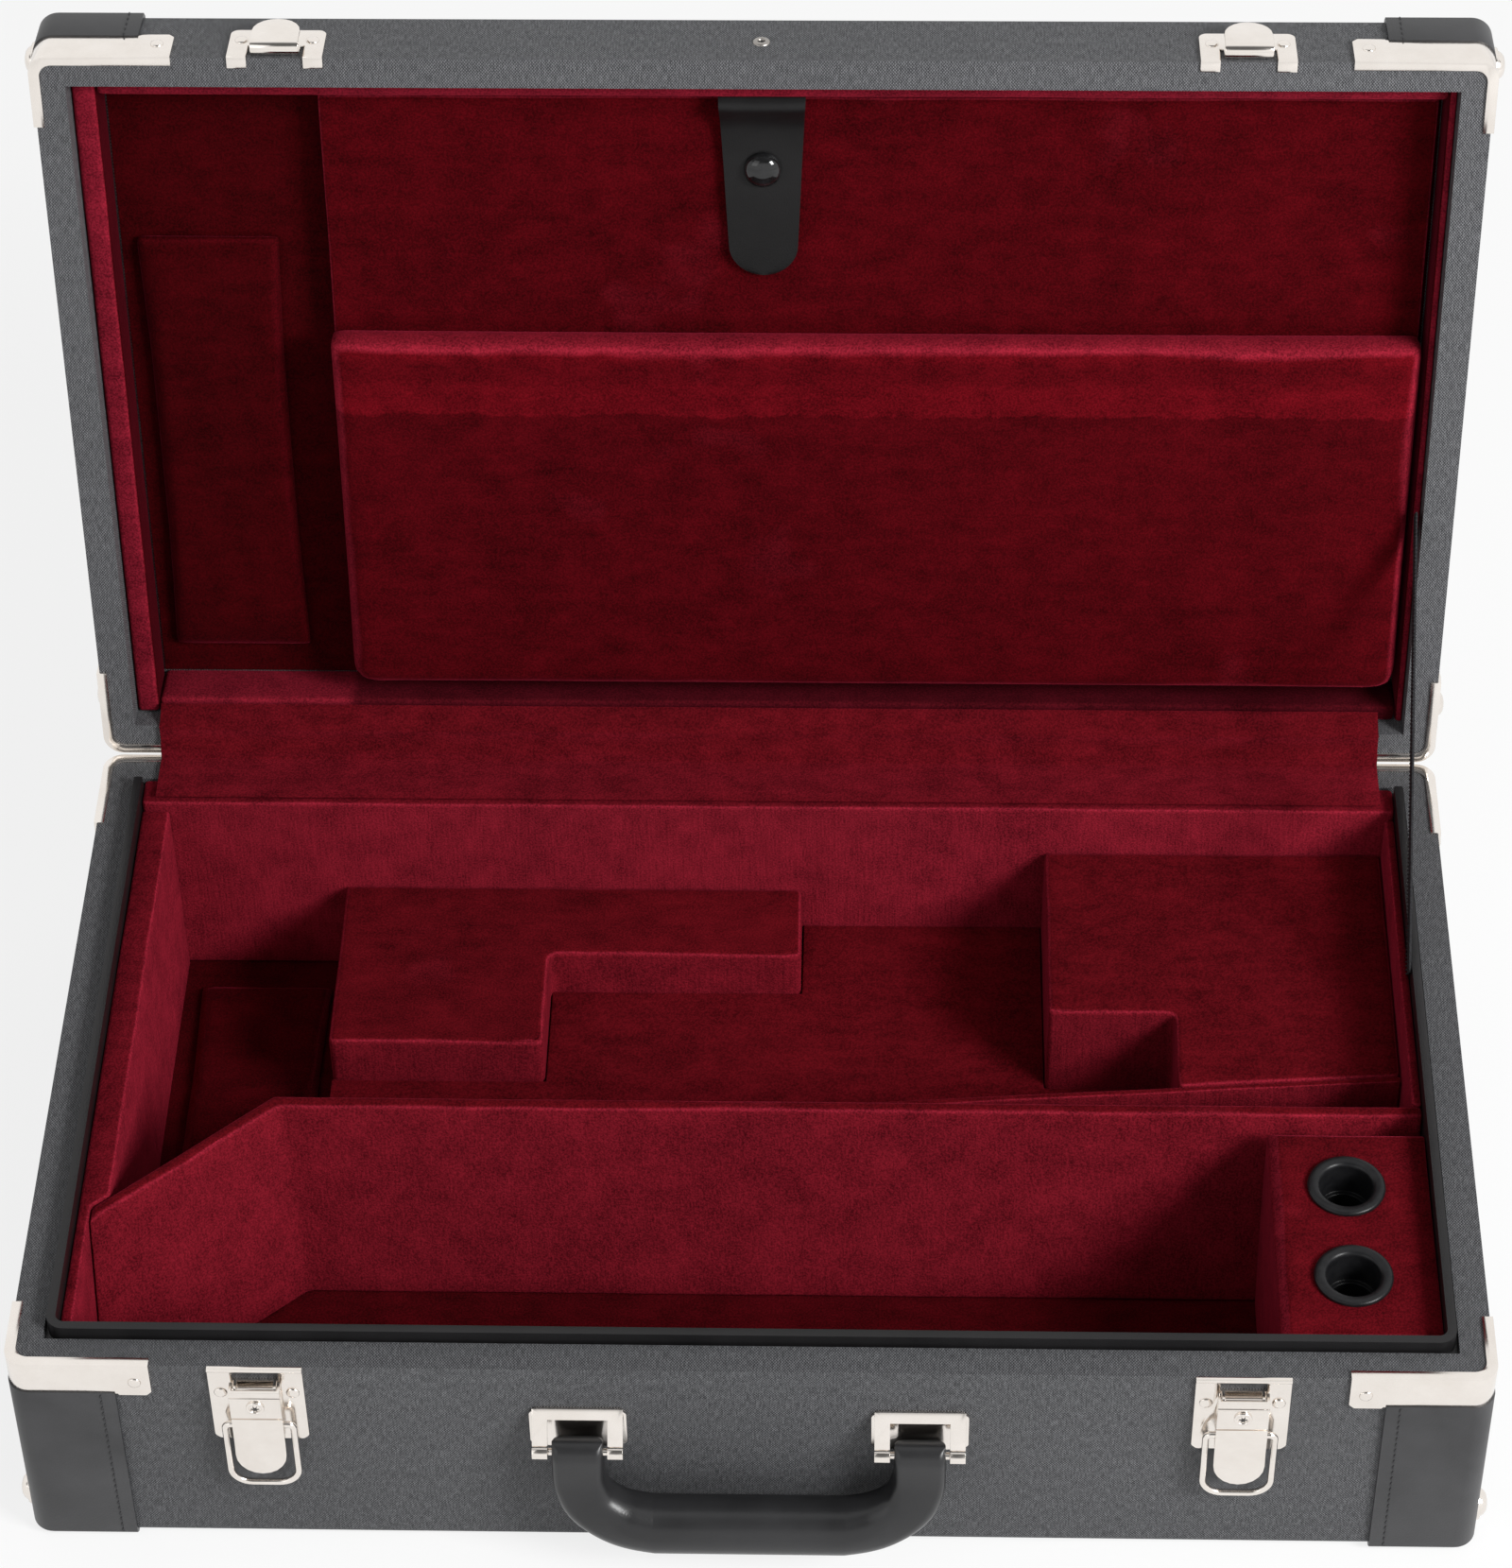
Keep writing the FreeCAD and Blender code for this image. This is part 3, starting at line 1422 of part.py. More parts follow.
# Stay tape: a narrow webbing, drawn tight between the two right-hand walls
tape_x = liner_x - tape_lip_clear - tape_thickness
tape_y = hinge_y - tape_reach
low_end = V(tape_x, tape_y, pad_top + tape_lift + tape_width / 2)
high_end = lid_place(tape_y, lid_pad_low - tape_lift - tape_width / 2)
high_end.x = tape_x + tape_lean
tape_run = V(0, high_end.y - low_end.y, high_end.z - low_end.z).normalize()
tape_across = V(0, -tape_run.z, tape_run.y) * (tape_width / 2)
tape_depth = V(tape_thickness, 0, 0)


def tape_end(at):
    near, far = at - tape_across, at + tape_across
    return loop([near, far, far + tape_depth, near + tape_depth])


save("stay_tape", [Part.makeLoft([tape_end(low_end), tape_end(high_end)], True, True)])
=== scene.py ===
import math

import bmesh
import bpy
from mathutils import Matrix, Quaternion, Vector, noise


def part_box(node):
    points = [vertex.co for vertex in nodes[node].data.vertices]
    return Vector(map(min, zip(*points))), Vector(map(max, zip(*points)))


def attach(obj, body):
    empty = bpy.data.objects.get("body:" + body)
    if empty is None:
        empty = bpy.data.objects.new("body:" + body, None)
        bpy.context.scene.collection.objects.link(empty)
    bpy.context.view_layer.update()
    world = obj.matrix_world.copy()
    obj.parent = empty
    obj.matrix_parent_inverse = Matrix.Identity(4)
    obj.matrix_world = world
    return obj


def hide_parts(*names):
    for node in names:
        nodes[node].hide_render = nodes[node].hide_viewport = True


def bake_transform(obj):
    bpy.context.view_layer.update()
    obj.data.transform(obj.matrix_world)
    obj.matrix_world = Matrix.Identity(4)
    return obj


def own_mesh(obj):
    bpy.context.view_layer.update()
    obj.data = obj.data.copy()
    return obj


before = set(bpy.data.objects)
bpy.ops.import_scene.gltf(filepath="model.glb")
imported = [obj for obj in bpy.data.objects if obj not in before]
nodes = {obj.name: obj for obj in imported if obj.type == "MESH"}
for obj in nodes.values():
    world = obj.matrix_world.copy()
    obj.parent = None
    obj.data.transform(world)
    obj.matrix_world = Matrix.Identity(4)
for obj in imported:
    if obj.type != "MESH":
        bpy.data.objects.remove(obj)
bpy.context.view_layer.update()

# ---------------------------------------------------------------- Viewpoint
# The case stands open on a white table. The viewer stands in front of it and looks down
# at about 45 degrees from two metres away, through a long lens.
def stood(name, data):
    """A new object in the scene."""
    made = bpy.data.objects.new(name, data)
    bpy.context.scene.collection.objects.link(made)
    return made


view_yaw, view_pitch, view_roll = [math.radians(turn) for turn in (2.065, 45.14, -1.0)]
view_place = (0.0480, -1.3208, 1.5319)
sensor_side, picture_side = 36, 1659
focal_length, picture_rise = 5153.2, 94
look = Vector((-math.sin(view_yaw) * math.cos(view_pitch), math.cos(view_yaw) * math.cos(view_pitch),
               -math.sin(view_pitch)))
level_right = Vector((math.cos(view_yaw), math.sin(view_yaw), 0))
level_up = level_right.cross(look)
view_right = level_right * math.cos(view_roll) + level_up * math.sin(view_roll)
view_up = level_up * math.cos(view_roll) - level_right * math.sin(view_roll)
viewer = stood("viewer", bpy.data.cameras.new("viewer"))
viewer.matrix_world = (Matrix.Translation(view_place)
                       @ Matrix((view_right, view_up, -look)).transposed().to_4x4())
viewer.data.lens = sensor_side * focal_length / picture_side
viewer.data.sensor_width = sensor_side
viewer.data.shift_y = picture_rise / picture_side
bpy.context.scene.camera = viewer
bpy.context.scene.view_settings.view_transform = "Standard"

# ---------------------------------------------------------------- Table and light
# A plain white table that fades into a white room, one broad soft lamp above and to the right,
# and a weaker one from the left. The shadow of the case stays on the table. High up on the
# viewer's side the room is dim, which gives the nickel and the black trim their dark edges.
def add(tree, kind, inputs=None, **settings):
    """A new node in the tree, with its settings, and its inputs given as sockets or as values."""
    made = tree.nodes.new(kind)
    for key, value in settings.items():
        setattr(made, key, value)
    for key, value in (inputs or {}).items():
        if isinstance(value, bpy.types.NodeSocket):
            tree.links.new(value, made.inputs[key])
        else:
            made.inputs[key].default_value = value
    return made


def calc(tree, kind, *values):
    """One step of arithmetic on sockets or numbers."""
    return add(tree, "ShaderNodeMath", dict(enumerate(values)), operation=kind).outputs[0]


def times(tree, a, b):
    return calc(tree, "MULTIPLY", a, b)


def plus(tree, a, b):
    return calc(tree, "ADD", a, b)


def ranged(tree, value, low, high, to_low=0.0, to_high=1.0):
    """The part of the value between low and high, stretched over to_low to to_high."""
    return add(tree, "ShaderNodeMapRange", {"Value": value, "From Min": low, "From Max": high,
                                            "To Min": to_low, "To Max": to_high}).outputs[0]


def white_to_the_eye(tree):
    """1 for what the eye, a polished face or glass sees, and 0 for light that falls on the case."""
    path = add(tree, "ShaderNodeLightPath").outputs
    seen = calc(tree, "MAXIMUM", path["Is Camera Ray"], path["Is Glossy Ray"])
    return calc(tree, "MAXIMUM", seen, path["Is Transmission Ray"])


white = (1, 1, 1, 1)
room = bpy.data.worlds.new("white_room")
room.use_nodes = True
room_tree = room.node_tree
room_tree.nodes.clear()
room_light = add(room_tree, "ShaderNodeBackground", {"Color": white, "Strength": 0.42})
room_place = add(room_tree, "ShaderNodeTexCoord").outputs["Generated"]
room_way = add(room_tree, "ShaderNodeSeparateXYZ", {0: room_place}).outputs
high_up = ranged(room_tree, room_way[2], 0.42, 0.58)
near_side = ranged(room_tree, room_way[1], 0.0, -0.3)
seen_light = ranged(room_tree, times(room_tree, high_up, near_side), 0.0, 1.0, 1.0, 0.12)
room_seen = add(room_tree, "ShaderNodeBackground", {"Color": white, "Strength": seen_light})
room_mix = add(room_tree, "ShaderNodeMixShader", {0: white_to_the_eye(room_tree),
                                                  1: room_light.outputs[0], 2: room_seen.outputs[0]})
add(room_tree, "ShaderNodeOutputWorld", {"Surface": room_mix.outputs[0]})
bpy.context.scene.world = room

table_finish = bpy.data.materials.new("white_table")
table_finish.use_nodes = True
table_tree = table_finish.node_tree
table_tree.nodes.clear()
table_matte = add(table_tree, "ShaderNodeBsdfDiffuse", {"Color": (0.86, 0.86, 0.86, 1)})
table_glow = add(table_tree, "ShaderNodeEmission", {"Color": white, "Strength": 1.0})
table_mix = add(table_tree, "ShaderNodeMixShader", {0: times(table_tree, white_to_the_eye(table_tree), 0.8),
                                                    1: table_matte.outputs[0], 2: table_glow.outputs[0]})
add(table_tree, "ShaderNodeOutputMaterial", {"Surface": table_mix.outputs[0]})
table_mesh = bpy.data.meshes.new("table")
table_reach, table_top = 6, -0.0003
table_mesh.from_pydata([(sx * table_reach, sy * table_reach, table_top)
                        for sx, sy in ((-1, -1), (1, -1), (1, 1), (-1, 1))], [], [(0, 1, 2, 3)])
table_mesh.materials.append(table_finish)
stood("table", table_mesh)

lit_spot = Vector((0, 0.05, 0.1))
for lamp_name, lamp_place, lamp_size, lamp_power in (("right_lamp", (1.9, -1.3, 1.7), 0.9, 80),
                                                     ("left_lamp", (-1.3, -1.4, 1.5), 1.3, 5)):
    lamp = stood(lamp_name, bpy.data.lights.new(lamp_name, "AREA"))
    lamp.data.size = lamp_size
    lamp.data.energy = lamp_power
    lamp.location = lamp_place
    lamp.rotation_euler = (lit_spot - Vector(lamp_place)).to_track_quat("-Z", "Y").to_euler()

# ---------------------------------------------------------------- Boards
# Nine and twelve millimetre plywood, glued up into a base and a lid and covered all round in a
# woven vinyl cloth, charcoal with paler crowns. Its threads cross every 1.1 and every 1.4 mm.
case_half_width, case_half_depth = 0.28, 0.165
lid_turn = math.radians(97)
hinge_line = Vector((0, 0.1666, 0.105))
lid_swing = (Matrix.Translation(hinge_line) @ Matrix.Rotation(-lid_turn, 4, "X")
             @ Matrix.Translation(-hinge_line))


def finish_named(name, roughness, metallic=0.0, specular=0.5):
    """A new finish and its tree, with the plain values on the surface's own sockets."""
    made = bpy.data.materials.new(name)
    made.use_nodes = True
    surface = made.node_tree.nodes["Principled BSDF"]
    surface.inputs["Roughness"].default_value = roughness
    surface.inputs["Metallic"].default_value = metallic
    surface.inputs["Specular IOR Level"].default_value = specular
    return made, made.node_tree, surface


def specks(tree, place, scale, detail=2.0, rough=0.5):
    """Soft noise from 0 to 1 at that many grains to the metre."""
    return add(tree, "ShaderNodeTexNoise", {"Vector": place, "Scale": scale, "Detail": detail,
                                            "Roughness": rough}).outputs[0]


def stepped(tree, value, stops):
    """A colour that runs through the stops as the value grows."""
    ramp = add(tree, "ShaderNodeValToRGB", {0: value})
    while len(ramp.color_ramp.elements) < len(stops):
        ramp.color_ramp.elements.new(0.5)
    for element, (place, colour) in zip(ramp.color_ramp.elements, stops):
        element.position = place
        element.color = (*colour, 1)
    return ramp.outputs[0]


def shades(colour, *shares):
    """The colour at each of those shares of its strength."""
    return [tuple(c * share for c in colour) for share in shares]


def raised(tree, surface, height, depth, strength):
    bump = add(tree, "ShaderNodeBump", {"Height": height, "Distance": depth, "Strength": strength})
    tree.links.new(bump.outputs[0], surface.inputs["Normal"])


def lying_flat(tree, turn):
    """Two coordinates that lie in each face of a box, for a box turned by that angle about X."""
    source = add(tree, "ShaderNodeTexCoord").outputs
    place, facing = source["Object"], source["Normal"]
    if turn:
        place, facing = [add(tree, "ShaderNodeMapping", {"Vector": way, "Rotation": (turn, 0, 0)}).outputs[0]
                         for way in (place, facing)]
    at = add(tree, "ShaderNodeSeparateXYZ", {0: place}).outputs
    way = add(tree, "ShaderNodeSeparateXYZ", {0: facing}).outputs
    sideways, upwards = [calc(tree, "GREATER_THAN", calc(tree, "ABSOLUTE", way[axis]), 0.7)
                         for axis in (0, 2)]
    across = add(tree, "ShaderNodeMix", {0: sideways, 2: at[0], 3: at[1]}).outputs[0]
    along = add(tree, "ShaderNodeMix", {0: upwards, 2: at[2], 3: at[1]}).outputs[0]
    return place, across, along


def woven_vinyl(name, turn, share):
    made, tree, surface = finish_named(name, 0.62, specular=0.35)
    place, across, along = lying_flat(tree, turn)
    wander = times(tree, specks(tree, place, 160), 1.2)
    warp, weft = [calc(tree, "SINE", plus(tree, times(tree, way, 2 * math.pi / pitch), wander))
                  for way, pitch in ((across, 0.0011), (along, 0.0014))]
    long_way = add(tree, "ShaderNodeCombineXYZ", {0: times(tree, across, 1700.0),
                                                  1: times(tree, along, 220.0)})
    slubs = specks(tree, long_way.outputs[0], 1.0)
    grain = specks(tree, place, 1700, 2.0, 0.7)
    fleck = plus(tree, times(tree, times(tree, warp, weft), 0.24), times(tree, grain, 0.6))
    fleck = plus(tree, fleck, times(tree, slubs, 0.5))
    threads = [(0.33, (0.020, 0.0205, 0.0225)), (0.55, (0.066, 0.067, 0.072)),
               (0.78, (0.185, 0.187, 0.195))]
    colour = stepped(tree, fleck, [(at, *shades(thread, share)) for at, thread in threads])
    wear = stepped(tree, specks(tree, place, 9, 4.0, 0.6), [(0.3, (0.93,) * 3), (0.7, (1.06,) * 3)])
    worn = add(tree, "ShaderNodeVectorMath", {0: colour, 1: wear}, operation="MULTIPLY").outputs[0]
    tree.links.new(worn, surface.inputs["Base Color"])
    raised(tree, surface, fleck, 0.00025, 0.6)
    return made


def welded(node):
    """A copy of a CAD piece as one skin, its flat faces whole again."""
    loose = nodes[node].data
    mesh = bpy.data.meshes.new(node + "_made")
    mesh.from_pydata([v.co[:] for v in loose.vertices], [], [tuple(p.vertices) for p in loose.polygons])
    work = bmesh.new()
    work.from_mesh(mesh)
    bmesh.ops.remove_doubles(work, verts=work.verts, dist=2e-6)
    bmesh.ops.dissolve_limit(work, angle_limit=math.radians(0.4), verts=work.verts, edges=work.edges)
    return work, mesh


def seated(piece, body, slot_name, *stands_for):
    """The finished piece on its body, in place of the CAD pieces that it stands for."""
    if body:
        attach(piece, body)
    if stands_for:
        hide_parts(*stands_for)
    return piece


def plain_piece(mesh, body, slot_name, finish, *stands_for):
    mesh.materials.append(finish)
    return seated(stood(mesh.name, mesh), body, slot_name, *stands_for)


def placed(work, mesh, body, slot_name, finish, *stands_for):
    """The piece for a finished skin."""
    work.to_mesh(mesh)
    work.free()
    return plain_piece(mesh, body, slot_name, finish, *stands_for)


def smoothed(mesh, sharp=50):
    """The mesh shaded smooth, except over edges that turn by more than that many degrees."""
    mesh.shade_smooth()
    mesh.set_sharp_from_angle(angle=math.radians(sharp))
    return mesh


def sharp_edges(work, least, most=180):
    """The edges whose two faces meet at an angle between those two, in degrees."""
    return [e for e in work.edges if len(e.link_faces) == 2
            and math.radians(least) < e.calc_face_angle(0.0) < math.radians(most)]


def eased(node, body, slot_name, finish, size, corner=0.0, turns=2):
    """A CAD piece with its cut corners turned round, its sharp edges eased and its curves shaded smooth."""
    work, mesh = welded(node)
    for geometry, offset, segments in ((sharp_edges(work, 36, 50), corner, 4), (None, size, turns)):
        if offset:
            bmesh.ops.bevel(work, geom=geometry or sharp_edges(work, 50), offset=offset, segments=segments,
                            profile=0.5, affect="EDGES", clamp_overlap=True)
    piece = placed(work, mesh, body, slot_name, finish, node)
    smoothed(mesh, 38)
    return piece


covered_corner = 0.0017
# The same cloth in two copies: the base's threads at 0.86 of their colour as painted shade, and the lid's at
# 1.1 as painted light.
shell_vinyl = {"base": woven_vinyl("woven_vinyl_base", 0, 0.86),
               "lid": woven_vinyl("woven_vinyl_lid", lid_turn, 1.1)}
for board in ("base_front_wall", "lid_front_wall", "base_back_wall", "lid_back_wall", "base_left_wall",
              "lid_left_wall", "base_right_wall", "lid_right_wall", "base_floor_board", "lid_top_board"):
    shell = board.split("_")[0]
    eased(board, shell, "covered_board", shell_vinyl[shell], 0.0, corner=covered_corner)

# ---------------------------------------------------------------- Lip
# A thin strip in black grained leathercloth, glued inside the base's front and sides. It stands
# five millimetres proud of the rim, so that the lid closes over it and keeps dust out.
def mottled(name, roughness, dark, pale, grain, metallic=0.0, specular=0.5):
    """A finish that wanders between two colours as noise of that grain does, with its parts."""
    made, tree, surface = finish_named(name, roughness, metallic, specular)
    place = add(tree, "ShaderNodeTexCoord").outputs["Object"]
    cloud = specks(tree, place, *grain)
    tree.links.new(stepped(tree, cloud, [(0.3, dark), (0.7, pale)]), surface.inputs["Base Color"])
    return made, tree, surface, place, cloud


def leather(name, colour, roughness, grain_size, grain_depth, gloss=0.45):
    made, tree, surface, place, cloud = mottled(name, roughness, *shades(colour, 0.75, 1.4), (25, 4.0, 0.6),
                                                specular=gloss)
    cells = add(tree, "ShaderNodeTexVoronoi", {"Vector": place, "Scale": 1 / grain_size},
                feature="DISTANCE_TO_EDGE").outputs[0]
    pores = specks(tree, place, 2.2 / grain_size, 3.0, 0.6)
    dull = ranged(tree, cloud, 0.0, 1.0, roughness - 0.07, roughness + 0.1)
    tree.links.new(dull, surface.inputs["Roughness"])
    raised(tree, surface, plus(tree, times(tree, cells, 1.2), times(tree, pores, 0.5)), grain_depth, 0.5)
    return made


lip_leather = leather("lip_leathercloth", (0.009, 0.0085, 0.009), 0.34, 0.0009, 0.00012, gloss=0.35)
eased("base_lip", "base", "leather_black", lip_leather, 0.0015, turns=5)

# ---------------------------------------------------------------- Corner guards
# Black leather cut and moulded over each upright corner before the hardware goes on. One seam of
# black thread runs up each side, 5.5 mm in from the edge.
guard_leather = leather("guard_leather", (0.036, 0.036, 0.038), 0.42, 0.0012, 0.00010)
for shell in ("base", "lid"):
    eased(shell + "_corner_guards", shell, "guard_leather", guard_leather, 0.0005, corner=covered_corner)
thread_black, tree, surface = finish_named("black_thread", 0.55, specular=0.4)
place = add(tree, "ShaderNodeTexCoord").outputs["Object"]
twist = add(tree, "ShaderNodeTexWave", {"Vector": place, "Scale": 900.0},
            bands_direction="DIAGONAL").outputs[0]
tree.links.new(stepped(tree, twist, [(0.2, (0.008, 0.008, 0.009)), (0.8, (0.035, 0.035, 0.038))]),
               surface.inputs["Base Color"])
raised(tree, surface, twist, 0.0001, 0.6)


def repeat_tree(name, along_line, faced=False):
    """Geometry nodes: one stitch or fastener at each point, or at each pitch along a line."""
    tree = bpy.data.node_groups.new(name, "GeometryNodeTree")
    for label, kind in (("Line", "NodeSocketGeometry"), ("Pattern", "NodeSocketObject"),
                        ("Pitch", "NodeSocketFloat"), ("Finish", "NodeSocketMaterial")):
        tree.interface.new_socket(label, in_out="INPUT", socket_type=kind)
    tree.interface.new_socket("Made", in_out="OUTPUT", socket_type="NodeSocketGeometry")
    given = add(tree, "NodeGroupInput").outputs
    pattern = add(tree, "GeometryNodeObjectInfo", {"Object": given["Pattern"]}).outputs["Geometry"]
    start = given["Line"]
    if faced or not along_line:
        way = add(tree, "GeometryNodeInputNamedAttribute", {"Name": "way"},
                  data_type="FLOAT_VECTOR").outputs[0]
        turn = add(tree, "FunctionNodeAlignRotationToVector", {"Vector": way}, axis="Z").outputs[0]
    if along_line:
        curve = add(tree, "GeometryNodeMeshToCurve", {0: start}).outputs[0]
        start = add(tree, "GeometryNodeResampleCurve", {"Curve": curve, "Length": given["Pitch"]},
                    mode="LENGTH").outputs[0]
        ahead = add(tree, "GeometryNodeInputTangent").outputs[0]
        run = add(tree, "FunctionNodeAlignRotationToVector", {"Vector": ahead},
                  axis="X", pivot_axis="Z" if faced else "AUTO")
        if faced:
            tree.links.new(turn, run.inputs["Rotation"])
        turn = run.outputs[0]
    set_out = add(tree, "GeometryNodeInstanceOnPoints",
                  {"Points": start, "Instance": pattern, "Rotation": turn})
    real = add(tree, "GeometryNodeRealizeInstances", {0: set_out.outputs[0]})
    done = add(tree, "GeometryNodeSetMaterial", {"Geometry": real.outputs[0], "Material": given["Finish"]})
    add(tree, "NodeGroupOutput", {0: done.outputs[0]})
    return tree


def worked_out(piece):
    """The mesh that the piece's modifiers make, with the modifiers taken off."""
    seen = piece.evaluated_get(bpy.context.evaluated_depsgraph_get())
    made = bpy.data.meshes.new_from_object(seen)
    piece.modifiers.clear()
    return made


def repeated(name, tree, line, pattern_mesh, pitch, body, slot_name, finish, *stands_for):
    """The pattern set out by the tree, as one plain piece."""
    pattern = stood(name + "_pattern", pattern_mesh)
    piece = stood(name, line)
    setting = piece.modifiers.new("set_out", "NODES")
    setting.node_group = tree
    values = {"Pattern": pattern, "Pitch": pitch, "Finish": finish}
    for socket in tree.interface.items_tree:
        if socket.in_out == "INPUT" and socket.name in values:
            setting[socket.identifier] = values[socket.name]
    piece.update_tag()
    bpy.context.view_layer.update()
    piece.data = smoothed(worked_out(piece))
    piece.data.name = name
    bpy.data.objects.remove(pattern)
    return seated(piece, body, slot_name, *stands_for)


def hoops(count, rings):
    """The faces of a closed skin through that many rings of points."""
    walls = [(low + k, low + (k + 1) % count, low + count + (k + 1) % count, low + count + k)
             for low in range(0, (rings - 1) * count, count) for k in range(count)]
    return walls + [tuple(range(count - 1, -1, -1)), tuple(range(count * (rings - 1), count * rings))]


def stitch_mesh(length, thick):
    """One stitch: a short plump thread that dips into its holes at both ends."""
    mesh = bpy.data.meshes.new("stitch")
    rings = [(-0.5, 0.25, -0.35), (-0.3, 0.9, 0.05), (0.0, 1.0, 0.18), (0.3, 0.9, 0.05), (0.5, 0.25, -0.35)]
    verts = [(length * x, thick / 2 * r * math.cos(a), thick * lift + thick / 2 * r * math.sin(a))
             for x, r, lift in rings for a in [math.pi / 3 * k for k in range(6)]]
    mesh.from_pydata(verts, [], [face[::-1] for face in hoops(6, len(rings))])
    return mesh


def line_mesh(name, lines, ways=()):
    """Lines or single points to set things out along, each with the way that its things face."""
    mesh = bpy.data.meshes.new(name)
    verts, edges, faced = [], [], []
    for line, way in zip(lines, ways or [(0, 0, 1)] * len(lines)):
        edges += [(len(verts) + i, len(verts) + i + 1) for i in range(len(line) - 1)]
        verts += [tuple(p) for p in line]
        faced += [tuple(way)] * len(line)
    mesh.from_pydata(verts, edges, [])
    if ways:
        facing = mesh.attributes.new("way", "FLOAT_VECTOR", "POINT")
        for item, way in zip(facing.data, faced):
            item.vector = way
    return mesh


along_seam = repeat_tree("stitches_along_a_seam", True)
guard_thick, thread_lift, seam_in = 0.0016, 0.0001, 0.0345
seam_out = guard_thick + thread_lift
base_seam_heights, lid_seam_heights = (0.0045, 0.030, 0.060, 0.087), (0.122, 0.130, 0.138)
stitch_length, stitch_thick, stitch_pitch = 0.0026, 0.0007, 0.0033
seams = {"base": [], "lid": []}
for sx in (-1, 1):
    for sy in (-1, 1):
        y = sy * case_half_depth
        for seam_x, seam_y in ((sx * (case_half_width - seam_in), y + sy * seam_out),
                               (sx * (case_half_width + seam_out), y - sy * seam_in)):
            seams["base"].append([(seam_x, seam_y, z) for z in base_seam_heights])
            seams["lid"].append([lid_swing @ Vector((seam_x, seam_y, z)) for z in lid_seam_heights])
for shell, lines in seams.items():
    repeated(shell + "_guard_stitches", along_seam, line_mesh(shell + "_seams", lines),
             stitch_mesh(stitch_length, stitch_thick), stitch_pitch, shell, "guard_leather", thread_black)

# ---------------------------------------------------------------- Nickel brackets, plates and hinges
# Blanked and folded from 1.2 mm steel sheet, barrel polished and plated in bright nickel, then
# riveted through the covering. Handling leaves fine hairlines and a few duller spots.
def nickel(name, roughness, shade=1.0):
    dark, pale = shades((0.80, 0.745, 0.69), shade) + shades((0.87, 0.82, 0.77), shade)
    made, tree, surface, place, cloud = mottled(name, roughness, dark, pale, (55, 4.0, 0.65), metallic=1.0)
    hairline = add(tree, "ShaderNodeMapping", {"Vector": place, "Scale": (300, 2600, 2600)}).outputs[0]
    tree.links.new(calc(tree, "MULTIPLY_ADD", cloud, 0.12, roughness - 0.06), surface.inputs["Roughness"])
    raised(tree, surface, plus(tree, specks(tree, hairline, 1.0), times(tree, cloud, 3.0)), 0.00001, 0.05)
    return made


bright_nickel = nickel("bright_nickel", 0.15)
outer_corner, inner_corner, sheet_edge = 0.0012, 0.0005, 0.00036
for node, body, corner in (
        ("base_brackets", "base", outer_corner), ("lid_brackets", "lid", outer_corner),
        ("latch_plates", "base", outer_corner), ("handle_brackets", "base", outer_corner),
        ("base_hinge_leaves", "base", inner_corner), ("lid_hinge_leaves", "lid", inner_corner),
        ("latch_keepers", "lid", outer_corner), ("latch_lever_left", "left_lever", inner_corner),
        ("latch_lever_right", "right_lever", inner_corner)):
    eased(node, body, "nickel", bright_nickel, sheet_edge, corner=corner)
eased("pivot_pins", "base", "steel_pin", bright_nickel, 0.0002, corner=0.0004)

# ---------------------------------------------------------------- Rivets, glides and the eyelet
# Turned and headed parts of the same nickel: small domed rivets in the brackets, latches and
# keepers, six broad glides on each shell that the case rests on when stood on an end or its
# back, and one eyelet in the middle of the lid's front.
def turned_mesh(name, profile, steps):
    """A turned piece about Z through (radius, height) pairs, from its foot round to its crown."""
    mesh = bpy.data.meshes.new(name)
    verts, rings = [], []
    for radius, height in profile:
        count = steps if radius > 0 else 1
        rings.append([len(verts) + i for i in range(count)])
        verts += [(radius * math.cos(a), radius * math.sin(a), height)
                  for a in [2 * math.pi * i / steps for i in range(count)]]
    faces = []
    for low, high in zip(rings, rings[1:]):
        for i in range(steps):
            j = (i + 1) % steps
            quad = (low[i % len(low)], low[j % len(low)], high[j % len(high)], high[i % len(high)])
            faces.append(tuple(dict.fromkeys(quad)))
    mesh.from_pydata(verts, [], faces)
    return mesh


def seats(node):
    """Where each small turned piece of a CAD node sits: its foot's centre, its way out and its radius."""
    work, mesh = welded(node)
    bpy.data.meshes.remove(mesh)
    found, left = [], set(work.verts)
    while left:
        island, edge = set(), [left.pop()]
        while edge:
            v = edge.pop()
            island.add(v)
            for e in v.link_edges:
                other = e.other_vert(v)
                if other in left:
                    left.discard(other)
                    edge.append(other)
        ends = [f for f in {f for v in island for f in v.link_faces} if len(f.verts) >= 6]
        foot, crown = max(ends, key=lambda f: f.calc_area()), min(ends, key=lambda f: f.calc_area())
        centre, top = [sum((v.co for v in end.verts), Vector()) / len(end.verts) for end in (foot, crown)]
        found.append((centre, (top - centre).normalized(), math.sqrt(foot.calc_area() / math.pi)))
    work.free()
    return sorted(found, key=lambda s: tuple(round(c, 5) for c in s[0]))


def set_on(name, places, head, steps, body, finish, *stands_for):
    """The same turned head at each place."""
    points = line_mesh(name + "_places", [[foot] for foot, out, radius in places],
                       [out for foot, out, radius in places])
    repeated(name, at_points, points, turned_mesh(name + "_head", head, steps), 0.0,
             body, "nickel", finish, *stands_for)


